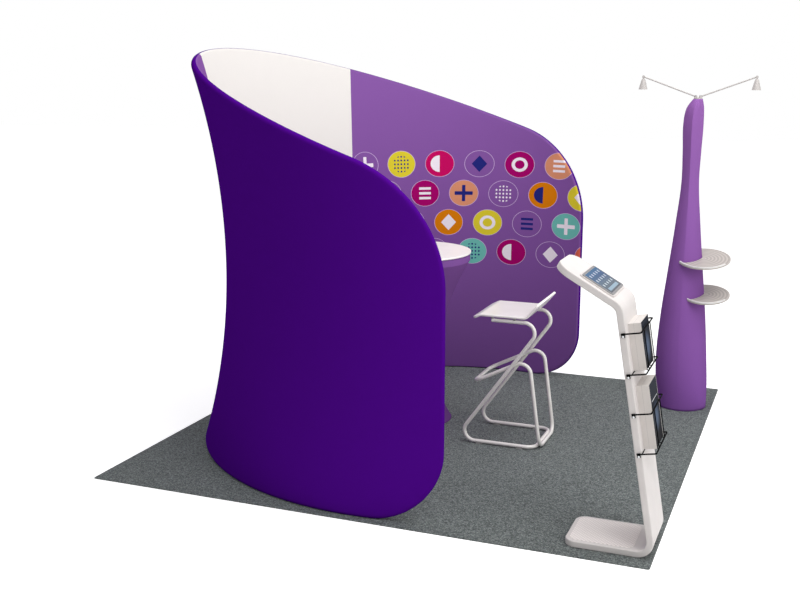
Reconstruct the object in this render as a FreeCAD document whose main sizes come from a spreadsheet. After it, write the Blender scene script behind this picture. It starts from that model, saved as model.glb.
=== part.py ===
import FreeCAD, Part
import math
import os
import Sketcher
from types import SimpleNamespace
from FreeCAD import Placement, Rotation, Vector

# Driving sizes: millimetres, degrees, and shares without a unit
SIZES = {
    # Fits between neighbouring pieces, and how far a cutting shape runs past what it cuts
    "seat_gap": 0.3,
    "running_gap": 0.05,
    "overrun": 20,
    # Carpet that carries the whole booth
    "carpet_side": 3000,
    "carpet_thick": 6,
    # Curved wall: plan circle, front edge, sloping top, rounded corners and waist
    "wall_radius": 1440,
    "wall_front": 490,
    "wall_rise": 1783,
    "wall_tilt": 19.47,
    "wall_head_bend": 650,
    "wall_foot_bend": 340,
    "wall_waist": 175,
    "wall_edge_waist_share": 0.03,
    "wall_turn": -1.4,
    # Tubes of the wall frame, their spigots and snap buttons
    "tube_radius": 16,
    "tube_wall": 2,
    "hoop_joint_bearing": 80,
    "rib_bearing": 38,
    "spigot_length": 120,
    "spigot_gap": 0.15,
    "button_radius": 4,
    "button_length": 10,
    "button_travel": 4,
    "button_setback": 22,
    "button_chamfer": 1,
    # Fabric cover of the wall, its hem and the zip along the foot
    "cover_thick": 1.2,
    "skin_gap": 0.8,
    "zip_thick": 1.2,
    "zip_top_angle": 27,
    "zip_low_angle": 46,
    "zip_bearing": 92,
    "slider_bearing": 88,
    "slider_length": 14,
    "slider_width": 7,
    "slider_thick": 2.6,
    "pull_length": 22,
    "pull_width": 5,
    "pull_thick": 1.4,
    # Tower: plan place, outline of its cover, base, mast and crown
    "tower_x": 1305,
    "tower_y": 1043,
    "tower_height": 2000,
    "tower_shoulder": 1852,
    "tower_waist_height": 1500,
    "tower_foot_radius": 158,
    "tower_waist_radius": 54,
    "tower_shoulder_radius": 62,
    "tower_tip_radius": 24,
    "tower_drift": -20,
    "tower_base_thick": 10,
    "tower_boss_radius": 32,
    "tower_boss_height": 70,
    "mast_radius": 20,
    "mast_wall": 2.5,
    "crown_foot": 1470,
    "crown_wall": 3,
    "crown_sleeve_wall": 5,
    "crown_top_depth": 14,
    # Tilted crescent shelves and the brackets that carry them from the mast
    "shelf_upper_height": 987,
    "shelf_upper_radius": 165,
    "shelf_upper_reach": 95,
    "shelf_lower_height": 755,
    "shelf_lower_radius": 148,
    "shelf_lower_reach": 120,
    "shelf_setback": 20,
    "shelf_tilt": 14,
    "shelf_thick": 8,
    "shelf_lip_height": 9,
    "shelf_lip_thick": 6,
    "shelf_notch_gap": 3,
    "bracket_width": 30,
    "bracket_thick": 6,
    "bracket_collar_wall": 8,
    "bracket_collar_height": 40,
    "bracket_slot_gap": 1,
    # Light hub, swivelling arms and spot lamps on top of the tower
    "hub_radius": 26,
    "hub_thick": 9,
    "hub_stud_radius": 12,
    "light_pivot_offset": 14,
    "light_reach": 345,
    "light_climb": 122,
    "arm_radius": 4.5,
    "arm_eye_radius": 9,
    "arm_eye_height": 11,
    "pivot_radius": 4,
    "pivot_head_radius": 7,
    "pivot_head_height": 4,
    "pivot_depth": 6,
    "knuckle_radius": 8,
    "knuckle_thick": 6,
    "lamp_ear_thick": 3.5,
    "lamp_pin_radius": 2.5,
    "lamp_neck_drop": 13,
    "lamp_strap_width": 10,
    "lamp_neck_radius": 9,
    "lamp_throat_drop": 26,
    "lamp_throat_radius": 14,
    "lamp_mouth_drop": 80,
    "lamp_mouth_radius": 28,
    "lamp_wall": 2,
    "lens_recess": 4,
    "lens_thick": 3,
    # Counter: round top, drum ring, waisted cover, post and base
    "counter_x": -284,
    "counter_y": 144,
    "counter_height": 1082,
    "counter_radius": 380,
    "counter_top_thick": 12,
    "counter_top_round": 4,
    "counter_rim": 44,
    "counter_ring_radius": 372,
    "counter_ring_wall": 18,
    "counter_waist_radius": 178,
    "counter_waist_height": 400,
    "counter_upper_radius": 250,
    "counter_upper_height": 756,
    "counter_lower_radius": 208,
    "counter_lower_height": 120,
    "counter_foot_radius": 268,
    "counter_base_thick": 8,
    "counter_base_clearance": 6,
    "counter_boss_radius": 38,
    "counter_boss_height": 60,
    "post_radius": 25,
    "post_wall": 2.5,
    "flange_hub_radius": 36,
    "flange_hub_height": 50,
    "flange_thick": 6,
    "flange_arm_width": 50,
    "flange_arm_gap": 3,
    # Stool: bent tube frame, footrest loop and folded seat plate
    "stool_rear_x": 628,
    "stool_y": 0,
    "stool_spacing": 378,
    "stool_depth": 490,
    "stool_rail_height": 760,
    "stool_rail_length": 312,
    "stool_rear_overhang": 40,
    "stool_tube_radius": 11,
    "stool_tube_wall": 1.5,
    "stool_bend": 62,
    "footrest_forward": 386,
    "footrest_height": 372,
    "footrest_cut_share": 0.55,
    "leg_top_forward": 52,
    "leg_top_height": 540,
    "glide_length": 36,
    "glide_width": 26,
    "glide_lift": 3,
    "glide_inset": 90,
    "seat_lift": 9,
    "seat_pad_radius": 9,
    "seat_pad_inset": 72,
    "seat_width": 410,
    "seat_thick": 14,
    "seat_round": 5,
    "seat_depth": 275,
    "seat_front": 342,
    "seat_lip_length": 46,
    "seat_lip_fall": 22,
    "seat_back_length": 74,
    "seat_back_rise": 90,
    "seat_bend": 40,
    "seat_corner": 30,
    # Tablet kiosk: one board bent into foot, leaning column and head, foot mat, tablet in its cradle
    "kiosk_back": 1085,
    "kiosk_length": 424,
    "kiosk_y": -1252,
    "kiosk_foot_corner": 55,
    "mat_length": 300,
    "mat_margin": 20,
    "mat_thick": 1.5,
    "mat_corner": 38,
    "column_width": 312,
    "column_thick": 33,
    "column_round": 6,
    "column_lean": 9.7,
    "column_inset": 16,
    "neck_height": 1157,
    "neck_bend": 60,
    "head_slope": 30,
    "head_length": 338,
    "head_corner": 80,
    "tablet_width": 250,
    "tablet_depth": 165,
    "tablet_thick": 8,
    "tablet_corner": 12,
    "tablet_along": 135,
    "tablet_bezel": 11,
    "glass_thick": 1,
    "cradle_border": 7,
    "cradle_floor": 3,
    "cradle_wall": 4,
    # Wire racks on the column and the cartons that stand in them
    "rack_upper_height": 857,
    "rack_lower_height": 497,
    "rack_upper_rise": 186,
    "rack_lower_rise": 184,
    "rack_setback": 22,
    "rack_depth": 66,
    "rack_wire_radius": 3.5,
    "rack_strut_radius": 2.4,
    "rack_floor_radius": 2,
    "rack_corner": 9,
    "rack_plate_width": 16,
    "rack_plate_height": 20,
    "rack_plate_thick": 4,
    "rack_floor_wires": 3,
    "carton_width": 196,
    "carton_depth": 58,
    "carton_upper_height": 216,
    "carton_lower_height": 294,
    "screw_radius": 3,
    "screw_head_radius": 5,
    "screw_head_height": 2.5,
}

# Tower cover between foot and waist: share of that height, of the taper, flatness, share of the drift
TOWER_FLANK_SHARES = (
    (0.0, 1.0, 1.0, 0.0),
    (0.1, 1.06, 1.0, 0.4),
    (0.2, 1.05, 0.99, 0.8),
    (0.4, 0.86, 0.97, 1.0),
    (0.6, 0.55, 0.93, 1.0),
    (0.8, 0.24, 0.87, 1.0),
    (1.0, 0.0, 0.80, 1.0),
)
# The same between waist and shoulder
TOWER_NECK_SHARES = ((0.5, 0.42, 0.78, 1.0), (1.0, 1.0, 0.78, 1.0))
# Ogive above the shoulder: share of its height, of its narrowing, flatness, share of the drift
TOWER_OGIVE_SHARES = ((0.35, 0.1, 0.80, 0.95), (0.68, 0.42, 0.86, 0.7), (1.0, 1.0, 1.0, 0.0))
WALL_STATIONS = 22
BOW_STEPS = 8
# How nearly two directions must agree to count as one
ALIGNED_SHARE = 0.99

document = FreeCAD.newDocument("ExhibitBooth")
sheet = document.addObject("Spreadsheet::Sheet", "Sizes")
for row, (alias, number) in enumerate(SIZES.items(), start=1):
    sheet.set(f"A{row}", alias)
    sheet.set(f"B{row}", str(number))
    sheet.setAlias(f"B{row}", alias)
document.recompute()


class Size:
    """A size: its number now, and the sheet formula that keeps it bound."""

    def __init__(self, number, formula):
        self.number = number
        self.formula = formula

    def __float__(self):
        return float(self.number)

    def joined(self, sign, other, number):
        text = other.formula if isinstance(other, Size) else str(other)
        return Size(number, f"({self.formula} {sign} {text})")

    def __add__(self, other):
        return self.joined("+", other, float(self) + float(other))

    def __sub__(self, other):
        return self.joined("-", other, float(self) - float(other))

    def __mul__(self, other):
        return self.joined("*", other, float(self) * float(other))

    def __truediv__(self, other):
        return self.joined("/", other, float(self) / float(other))

    def __neg__(self):
        return Size(-float(self), f"(-{self.formula})")


# S holds sizes that bind to the sheet, N the same sizes as plain numbers
N = SimpleNamespace(**{alias: float(sheet.get(alias)) for alias in SIZES})
S = SimpleNamespace(**{alias: Size(getattr(N, alias), "Sizes." + alias) for alias in SIZES})
PIECES = []


def keep(item, label):
    """Name a finished piece and list it for writing out."""
    item.Label = label
    PIECES.append(item)
    return item


def bind(item, **sizes):
    """Bind properties of an object to sheet formulas."""
    for name, size in sizes.items():
        item.setExpression(name.replace("__", "."), size.formula)


def place(item, x, y, z):
    """Bind where an object stands."""
    bind(item, Placement__Base__x=x, Placement__Base__y=y, Placement__Base__z=z)


def shaped(label, shape):
    """A piece whose form comes from curves worked out below."""
    item = document.addObject("Part::Feature", label)
    item.Shape = shape
    return keep(item, label)


# Sketched bodies

def new_body(label):
    return keep(document.addObject("PartDesign::Body", label), label)


def new_sketch(body, name, role, lift=None):
    """A sketch on one of the body's own origin planes, lifted along the plane's normal."""
    sketch = body.newObject("Sketcher::SketchObject", name)
    planes = {feature.Role: feature for feature in body.Origin.OriginFeatures}
    sketch.AttachmentSupport = (planes[role], [""])
    sketch.MapMode = "FlatFace"
    if lift is not None:
        bind(sketch, AttachmentOffset__Base__z=lift)
    return sketch


def pin(sketch, edge, point, kind, size, axis):
    """Hold one coordinate of a point: on the axis for a plain 0, else at a bound distance."""
    if not isinstance(size, Size):
        sketch.addConstraint(Sketcher.Constraint("PointOnObject", edge, point, axis))
        return
    held = sketch.addConstraint(Sketcher.Constraint(kind, -1, 1, edge, point, float(size)))
    sketch.setExpression(f"Constraints[{held}]", size.formula)


def outline(sketch, corners):
    """Closed straight-sided outline whose corners are bound pairs of sizes."""
    spots = [Vector(float(x), float(y), 0) for x, y in corners]
    count = len(spots)
    for i in range(count):
        sketch.addGeometry(Part.LineSegment(spots[i], spots[(i + 1) % count]), False)
    for i in range(count):
        sketch.addConstraint(Sketcher.Constraint("Coincident", i, 2, (i + 1) % count, 1))
    for i, (x, y) in enumerate(corners):
        pin(sketch, i, 1, "DistanceX", x, -2)
        pin(sketch, i, 1, "DistanceY", y, -1)


def circle(sketch, radius, x=0, y=0):
    """Circle with bound radius and centre."""
    spot = Vector(float(x), float(y), 0)
    edge = sketch.addGeometry(Part.Circle(spot, Vector(0, 0, 1), float(radius)), False)
    held = sketch.addConstraint(Sketcher.Constraint("Radius", edge, float(radius)))
    sketch.setExpression(f"Constraints[{held}]", radius.formula)
    pin(sketch, edge, 3, "DistanceX", x, -2)
    pin(sketch, edge, 3, "DistanceY", y, -1)


def pad(body, sketch, length, both_ways=False):
    """Extrude a sketch, one way or evenly to both sides of its plane."""
    feature = body.newObject("PartDesign::Pad", sketch.Name + "Pad")
    feature.Profile = sketch
    if both_ways:
        feature.SideType = "Symmetric"
    bind(feature, Length=length)
    return feature


def pocket(body, sketch, length):
    """Cut a sketch out along its normal's positive side."""
    feature = body.newObject("PartDesign::Pocket", sketch.Name + "Pocket")
    feature.Profile = sketch
    feature.Reversed = True
    bind(feature, Length=length)
    return feature


def spin(body, sketch):
    """Turn an upright half outline once round the vertical axis."""
    feature = body.newObject("PartDesign::Revolution", sketch.Name + "Turned")
    feature.Profile = sketch
    feature.ReferenceAxis = (sketch, ["V_Axis"])
    feature.Angle = 360
    return feature


def round_edges(body, feature, wanted, radius):
    """Fillet those edges of a feature that the test picks."""
    document.recompute()
    edges = feature.Shape.Edges
    names = [f"Edge{i}" for i, edge in enumerate(edges, start=1) if wanted(edge)]
    fillet = body.newObject("PartDesign::Fillet", feature.Name + "Rounded")
    fillet.Base = (feature, names)
    bind(fillet, Radius=radius)
    return fillet


def is_upright(edge):
    """True for a straight edge along Z."""
    run = edge.Vertexes[-1].Point - edge.Vertexes[0].Point
    return len(edge.Vertexes) == 2 and abs(run.z) > ALIGNED_SHARE * edge.Length


def rectangle(x_low, x_high, y_low, y_high):
    return ((x_low, y_low), (x_high, y_low), (x_high, y_high), (x_low, y_high))


# Paths and sweeps

def arc_chain(curve, start, stop, arcs):
    """Edges along a curve: each arc passes through three of its points."""
    steps = 2 * arcs
    spots = [curve(start + (stop - start) * i / steps) for i in range(steps + 1)]
    return [Part.Arc(*spots[i:i + 3]).toShape() for i in range(0, steps, 2)]


def bent_run(spots, bend, closed=False):
    """Edges of straight runs whose corners are rounded to one bend radius."""
    count = len(spots)
    corners = range(count) if closed else range(1, count - 1)
    bends = {}
    for i in corners:
        corner = spots[i]
        back = (spots[i - 1] - corner).normalize()
        ahead = (spots[(i + 1) % count] - corner).normalize()
        half = back.getAngle(ahead) / 2
        reach = bend / math.tan(half)
        inward = (back + ahead).normalize()
        middle = corner + inward * (bend / math.sin(half) - bend)
        bends[i] = (corner + back * reach, middle, corner + ahead * reach)
    edges = []
    for i in range(count if closed else count - 1):
        following = (i + 1) % count
        leave = bends[i][2] if i in bends else spots[i]
        reached = bends[following][0] if following in bends else spots[following]
        edges.append(Part.LineSegment(leave, reached).toShape())
        if following in bends:
            edges.append(Part.Arc(*bends[following]).toShape())
    return edges


def rod(edges, radius):
    """Solid round bar along a path."""
    path = Part.Wire(edges)
    first = edges[0]
    start = first.valueAt(first.FirstParameter)
    heading = first.tangentAt(first.FirstParameter)
    section = Part.Wire(Part.makeCircle(radius, start, heading))
    return path.makePipeShell([section], True, False)


def tube(edges, radius, wall):
    """Hollow round tube along a path."""
    return rod(edges, radius).cut(rod(edges, radius - wall))


def ribbon(edges, width, thick, across):
    """Flat bar along a plane path: its width lies along the given direction."""
    first = edges[0]
    start = first.valueAt(first.FirstParameter)
    heading = first.tangentAt(first.FirstParameter)
    up = heading.cross(across).normalize()
    half_width = across * (width / 2)
    half_thick = up * (thick / 2)
    corners = [
        start - half_width - half_thick,
        start + half_width - half_thick,
        start + half_width + half_thick,
        start - half_width + half_thick,
    ]
    section = Part.makePolygon(corners + corners[:1])
    return Part.Wire(edges).makePipeShell([section], True, False)


def solid_between(section_wires):
    """Smooth solid through closed outlines."""
    return Part.makeLoft(section_wires, True, False)


GROUND = N.carpet_thick
BOUND_GROUND = S.carpet_thick
Z_AXIS = Vector(0, 0, 1)
Y_AXIS = Vector(0, 1, 0)
X_AXIS = Vector(1, 0, 0)


# Carpet: square of loop pile that everything stands on

carpet = new_body("carpet")
carpet_plan = new_sketch(carpet, "CarpetPlan", "XY_Plane")
half_carpet = S.carpet_side / 2
outline(carpet_plan, rectangle(-half_carpet, half_carpet, -half_carpet, half_carpet))
pad(carpet, carpet_plan, S.carpet_thick)


# Curved wall. Bearings run from the back of the booth, positive to the near wing (-Y)

HEM_INNER = N.tube_radius + N.seat_gap
HEM_OUTER = HEM_INNER + N.cover_thick
RAIL_HEIGHT = GROUND + HEM_OUTER
TILT = math.radians(N.wall_tilt)
FRONT_BEARING = 90 + math.degrees(math.asin(N.wall_front / N.wall_radius))


def top_height(x):
    """Height of the top rail's middle line above a depth x."""
    return GROUND + N.wall_rise - x * math.tan(TILT)


def outward(bearing):
    turn = math.radians(180 + bearing)
    return Vector(math.cos(turn), math.sin(turn), 0)


def foot_line(bearing):
    return outward(bearing) * N.wall_radius + Z_AXIS * RAIL_HEIGHT


def head_line(bearing):
    spot = outward(bearing) * N.wall_radius
    return spot + Z_AXIS * top_height(spot.x)


def bearing_of(x, reach=N.wall_radius):
    return 90 + math.degrees(math.asin(x / reach))


def bow(bearing):
    """Middle height, half height, depth and radius of the waisted wall line at a bearing."""
    half = (head_line(bearing).z - RAIL_HEIGHT) / 2
    fade = math.cos(math.radians(90 * bearing / FRONT_BEARING))
    depth = N.wall_waist * (N.wall_edge_waist_share + (1 - N.wall_edge_waist_share) * fade)
    return RAIL_HEIGHT + half, half, depth, (half ** 2 + depth ** 2) / (2 * depth)


def on_wall(x, z, side):
    """Point of the waisted wall at depth x and height z, on the near (1) or far (-1) wing."""
    reach = N.wall_radius
    for step in range(BOW_STEPS):
        middle, half, depth, bow_radius = bow(bearing_of(x, reach))
        reach = N.wall_radius - depth + bow_radius - math.sqrt(bow_radius ** 2 - (z - middle) ** 2)
    return Vector(x, -side * math.sqrt(reach ** 2 - x ** 2), z)


FOOT_BEND_X = N.wall_front - N.wall_foot_bend
FOOT_BEND_Z = RAIL_HEIGHT + N.wall_foot_bend
HEAD_BEND_X = N.wall_front - N.wall_head_bend
HEAD_BEND_Z = top_height(HEAD_BEND_X) - N.wall_head_bend / math.cos(TILT)
HEAD_BEND_TURN = 90 - N.wall_tilt
HEAD_BEND_END_X = HEAD_BEND_X + N.wall_head_bend * math.sin(TILT)


def foot_bend(side):
    """Lower front corner: a quarter circle in side view, wrapped on the plan circle."""
    def curve(turn):
        x = FOOT_BEND_X + N.wall_foot_bend * math.cos(math.radians(turn))
        z = FOOT_BEND_Z + N.wall_foot_bend * math.sin(math.radians(turn))
        return on_wall(x, z, side)
    return curve


def head_bend(side):
    """Upper front corner, from the upright to the sloping top."""
    def curve(turn):
        x = HEAD_BEND_X + N.wall_head_bend * math.cos(math.radians(turn))
        z = HEAD_BEND_Z + N.wall_head_bend * math.sin(math.radians(turn))
        return on_wall(x, z, side)
    return curve


def hoop_path(side):
    """End hoop: foot rail, lower bend, upright, upper bend and top rail in one bent tube."""
    joint = side * N.hoop_joint_bearing

    def upright(z):
        return on_wall(N.wall_front, z, side)

    edges = arc_chain(foot_line, joint, side * bearing_of(FOOT_BEND_X), 1)
    edges += arc_chain(foot_bend(side), -90, 0, 3)
    edges += arc_chain(upright, FOOT_BEND_Z, HEAD_BEND_Z, 1)
    edges += arc_chain(head_bend(side), 0, HEAD_BEND_TURN, 3)
    edges += arc_chain(head_line, side * bearing_of(HEAD_BEND_END_X), joint, 2)
    return edges


def rail_path(line, side):
    return arc_chain(line, 0, side * N.hoop_joint_bearing, 4)


def bow_points(bearing, offset):
    """Foot, middle and head of the waisted wall line at a bearing, moved outwards by an offset."""
    middle, half, depth, bow_radius = bow(bearing)
    spread = math.asin(half / bow_radius)
    centre = outward(bearing) * (N.wall_radius - depth + bow_radius) + Z_AXIS * middle
    arm = bow_radius - offset
    turns = (-spread, 0, spread)
    return [centre + (Z_AXIS * math.sin(a) - outward(bearing) * math.cos(a)) * arm for a in turns]


def rib_path(side):
    return [Part.Arc(*bow_points(side * N.rib_bearing, 0)).toShape()]


SIDES = {"near": 1, "far": -1}
LEVELS = {"foot": foot_line, "top": head_line}
BUTTON_TURN = math.degrees(N.button_setback / N.wall_radius)
JOINTS = {
    "back": (0, BUTTON_TURN),
    "near": (N.hoop_joint_bearing, N.hoop_joint_bearing + BUTTON_TURN),
    "far": (-N.hoop_joint_bearing, -N.hoop_joint_bearing - BUTTON_TURN),
}
BUTTON_TIP = N.tube_radius - N.seat_gap


def button_bore(line, bearing, radius, low, high):
    """Round bar pointing at the booth's middle, between two distances from the tube's line."""
    inward = outward(bearing) * -1
    return Part.makeCylinder(radius, high - low, line(bearing) + inward * low, inward)


button_holes = [
    button_bore(line, spot, N.button_radius + N.running_gap, 0, N.tube_radius + N.overrun)
    for line in LEVELS.values()
    for joint, spot in JOINTS.values()
]

rail_rods = {
    level: [rod(rail_path(line, side), N.tube_radius + N.seat_gap) for side in SIDES.values()]
    for level, line in LEVELS.items()
}

for level, line in LEVELS.items():
    for wing, side in SIDES.items():
        rail = tube(rail_path(line, side), N.tube_radius, N.tube_wall)
        shaped(f"wall_{level}_rail_{wing}", rail.cut(button_holes))

for wing, side in SIDES.items():
    hoop = tube(hoop_path(side), N.tube_radius, N.tube_wall)
    shaped(f"wall_end_hoop_{wing}", hoop.cut(button_holes))

# Bowed ribs stand in compression between the rails, their ends notched to the rail tubes
for wing, side in SIDES.items():
    rib = tube(rib_path(side), N.tube_radius, N.tube_wall)
    shaped(f"wall_rib_{wing}", rib.cut(rail_rods["foot"] + rail_rods["top"]))

# Spigots inside the tube joints, bored for the snap buttons
SPIGOT_TURN = math.degrees(N.spigot_length / N.wall_radius) / 2
SPIGOT_RADIUS = N.tube_radius - N.tube_wall - N.spigot_gap
BORE_FLOOR = BUTTON_TIP - N.button_length - N.button_travel - N.seat_gap
spigots = []
for line in LEVELS.values():
    for joint, spot in JOINTS.values():
        spigot = rod(arc_chain(line, joint - SPIGOT_TURN, joint + SPIGOT_TURN, 1), SPIGOT_RADIUS)
        bore_radius = N.button_radius + N.running_gap
        spigots.append(spigot.cut(button_bore(line, spot, bore_radius, BORE_FLOOR, N.tube_radius)))
shaped("wall_spigots", Part.makeCompound(spigots))

for level, line in LEVELS.items():
    for name, (joint, spot) in JOINTS.items():
        button = button_bore(line, spot, N.button_radius, BUTTON_TIP - N.button_length, BUTTON_TIP)
        tip = line(spot) - outward(spot) * BUTTON_TIP
        rim = [edge for edge in button.Edges if edge.CenterOfMass.distanceToPoint(tip) < N.seat_gap]
        shaped(f"snap_button_{level}_{name}", button.makeChamfer(N.button_chamfer, rim))

# Fabric cover: outer and inner skin, and the hem that wraps the tubes round the edge
SKIN_NEAR = HEM_OUTER + N.skin_gap
SKIN_FAR = SKIN_NEAR + N.cover_thick
SPAN = N.wall_radius + N.overrun + SKIN_FAR


def skin_section(bearing, low, high):
    first = bow_points(bearing, low)
    second = bow_points(bearing, high)
    return Part.Wire([
        Part.Arc(*first).toShape(),
        Part.LineSegment(first[2], second[2]).toShape(),
        Part.Arc(*reversed(second)).toShape(),
        Part.LineSegment(second[0], first[0]).toShape(),
    ])


def side_outline():
    """Prism that holds the wall's side view, with its two rounded front corners."""
    def flat(x, z):
        return Vector(x, -SPAN, z)

    def bend(x, z, radius, turns):
        spots = [(math.radians(a), radius) for a in turns]
        return Part.Arc(*[flat(x + r * math.cos(a), z + r * math.sin(a)) for a, r in spots]).toShape()

    lower = bend(FOOT_BEND_X, FOOT_BEND_Z, N.wall_foot_bend, (-90, -45, 0))
    upper = bend(HEAD_BEND_X, HEAD_BEND_Z, N.wall_head_bend, (0, HEAD_BEND_TURN / 2, HEAD_BEND_TURN))
    lower_start = lower.Vertexes[0].Point
    lower_end = lower.Vertexes[-1].Point
    upper_start = upper.Vertexes[0].Point
    upper_end = upper.Vertexes[-1].Point
    roof = Z_AXIS * (N.overrun + N.wall_radius)
    rest = [
        upper_end,
        upper_end + roof,
        flat(-SPAN, (upper_end + roof).z),
        flat(-SPAN, GROUND - N.overrun),
        flat(FOOT_BEND_X, GROUND - N.overrun),
        lower_start,
    ]
    edges = [lower, Part.LineSegment(lower_end, upper_start).toShape(), upper]
    edges += [Part.LineSegment(a, b).toShape() for a, b in zip(rest, rest[1:])]
    return Part.Face(Part.Wire(edges)).extrude(Y_AXIS * (2 * SPAN))


WALL_OUTLINE = side_outline()


def skin(low, high):
    """Waisted sheet round the booth, cut to the wall's side view."""
    turns = [FRONT_BEARING * (2 * i / WALL_STATIONS - 1) for i in range(WALL_STATIONS + 1)]
    sheet_solid = solid_between([skin_section(turn, low, high) for turn in turns])
    return sheet_solid.common(WALL_OUTLINE)


shaped("wall_cover_outer", skin(SKIN_NEAR, SKIN_FAR))
shaped("wall_cover_inner", skin(-SKIN_FAR, -SKIN_NEAR))


def rib_holes(side):
    """Round bars along both ends of a rib, from the rail's middle out through the hem."""
    rib = rib_path(side)[0]
    ends = ((rib.FirstParameter, 1), (rib.LastParameter, -1))
    return [
        Part.makeCylinder(HEM_INNER, HEM_OUTER + N.overrun, rib.valueAt(end), rib.tangentAt(end) * way)
        for end, way in ends
    ]


hem = []
for side in SIDES.values():
    hem.append(tube(hoop_path(side), HEM_OUTER, N.cover_thick))
    for line, hole in zip(LEVELS.values(), rib_holes(side)):
        hem.append(tube(rail_path(line, side), HEM_OUTER, N.cover_thick).cut(hole))
shaped("wall_cover_hem", Part.makeCompound(hem))

# Zip along the inside of the foot hem, and its slider, which runs on the booth's plan circle
ZIP_NEAR = HEM_OUTER + N.skin_gap
ZIP_FAR = ZIP_NEAR + N.zip_thick


def hem_point(bearing, angle, reach):
    """Point beside the foot rail, at an angle below level on the inner side."""
    low = math.radians(angle)
    inward = outward(bearing) * (-math.cos(low) * reach)
    return foot_line(bearing) + inward - Z_AXIS * (math.sin(low) * reach)


def zip_section(bearing):
    angles = (N.zip_top_angle, (N.zip_top_angle + N.zip_low_angle) / 2, N.zip_low_angle)
    near = [hem_point(bearing, angle, ZIP_NEAR) for angle in angles]
    far = [hem_point(bearing, angle, ZIP_FAR) for angle in angles]
    return Part.Face(Part.Wire([
        Part.Arc(*near).toShape(),
        Part.LineSegment(near[2], far[2]).toShape(),
        Part.Arc(*reversed(far)).toShape(),
        Part.LineSegment(far[0], near[0]).toShape(),
    ]))


zip_start = zip_section(-N.zip_bearing)
shaped("wall_zip", zip_start.revolve(Vector(0, 0, 0), Z_AXIS, 2 * N.zip_bearing))

ZIP_ANGLE = (N.zip_top_angle + N.zip_low_angle) / 2
slider_seat = hem_point(N.slider_bearing, ZIP_ANGLE, ZIP_FAR + N.running_gap)
slider_turn = Rotation(Z_AXIS, 180 + N.slider_bearing).multiply(Rotation(Y_AXIS, 180 - ZIP_ANGLE))
slider = Part.makeBox(
    N.slider_thick, N.slider_length, N.slider_width,
    Vector(0, -N.slider_length / 2, -N.slider_width / 2),
)
pull = Part.makeBox(
    N.pull_thick, N.pull_length, N.pull_width,
    Vector(N.slider_thick - N.pull_thick, N.slider_length / 2 - N.pull_thick, -N.pull_width / 2),
)
slider = slider.fuse(pull).removeSplitter()
slider.Placement = Placement(slider_seat, slider_turn)
shaped("zip_slider", slider)

# The whole wall stands turned a little on the carpet
for piece in PIECES[PIECES.index(carpet) + 1:]:
    piece.Placement = Placement(Vector(0, 0, 0), Rotation(Z_AXIS, N.wall_turn)).multiply(piece.Placement)


# Tower: weighted base, mast, moulded crown and a stretched cover

TOWER = Vector(N.tower_x, N.tower_y, GROUND)


def tower_rows():
    """Height, corner radius, flatness and drift of the cover's sections: flanks first, then ogive."""
    taper = N.tower_foot_radius - N.tower_waist_radius
    swell = N.tower_shoulder_radius - N.tower_waist_radius
    narrowing = N.tower_tip_radius - N.tower_shoulder_radius
    neck = N.tower_shoulder - N.tower_waist_height
    ogive = N.tower_height - N.tower_shoulder
    stretches = (
        (0, N.tower_waist_height, N.tower_waist_radius, taper, TOWER_FLANK_SHARES),
        (N.tower_waist_height, neck, N.tower_waist_radius, swell, TOWER_NECK_SHARES),
        (N.tower_shoulder, ogive, N.tower_shoulder_radius, narrowing, TOWER_OGIVE_SHARES),
    )
    flanks, necks, ogives = (
        [(low + rise * up, radius + change * share, flat, N.tower_drift * drift)
         for up, share, flat, drift in rows]
        for low, rise, radius, change, rows in stretches
    )
    return flanks + necks, necks[-1:] + ogives


def cover_ring(height, corner, flat, drift, inset):
    """Four flanks between ridges on the X and Y directions; flatness 1 is a full circle."""
    centre = TOWER + Vector(drift, 0, height)
    spots = []
    for i in range(8):
        turn = math.radians(45 * i)
        reach = (corner * flat if i % 2 else corner) - inset
        spots.append(centre + Vector(reach * math.cos(turn), reach * math.sin(turn), 0))
    spots.append(spots[0])
    return Part.Wire([Part.Arc(*spots[i:i + 3]).toShape() for i in range(0, 8, 2)])


def tower_hull(inset):
    """Solid inside the tower's cover, taken in by an inset."""
    flanks, ogive = (
        solid_between([cover_ring(*row, inset) for row in rows]) for rows in tower_rows()
    )
    return flanks.fuse(ogive)


def shelf_turn():
    return Rotation(X_AXIS, N.shelf_tilt)


def shelf_place(height, reach):
    """Frame of a shelf: its middle lies beside the mast, its plane tips to the front."""
    return Placement(TOWER + Vector(reach, -N.shelf_setback, height), shelf_turn())


SHELVES = {
    "upper": (N.shelf_upper_height, N.shelf_upper_radius, N.shelf_upper_reach),
    "lower": (N.shelf_lower_height, N.shelf_lower_radius, N.shelf_lower_reach),
}


def bracket_bar(height, reach, grow):
    """Flat bar under a shelf, from the mast outwards, grown evenly for its slot in the cover."""
    length = reach + N.shelf_setback + N.bracket_width
    bar = Part.makeBox(
        length + 2 * grow,
        N.bracket_width + 2 * grow,
        N.bracket_thick + 2 * grow,
        Vector(-reach - grow, N.shelf_setback - N.bracket_width / 2 - grow, -N.bracket_thick - grow),
    )
    bar.Placement = shelf_place(height, reach)
    return bar


cover = tower_hull(0).cut(tower_hull(N.cover_thick))
slots = [bracket_bar(height, reach, N.bracket_slot_gap) for height, radius, reach in SHELVES.values()]
shaped("tower_cover", cover.cut(slots))

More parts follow.
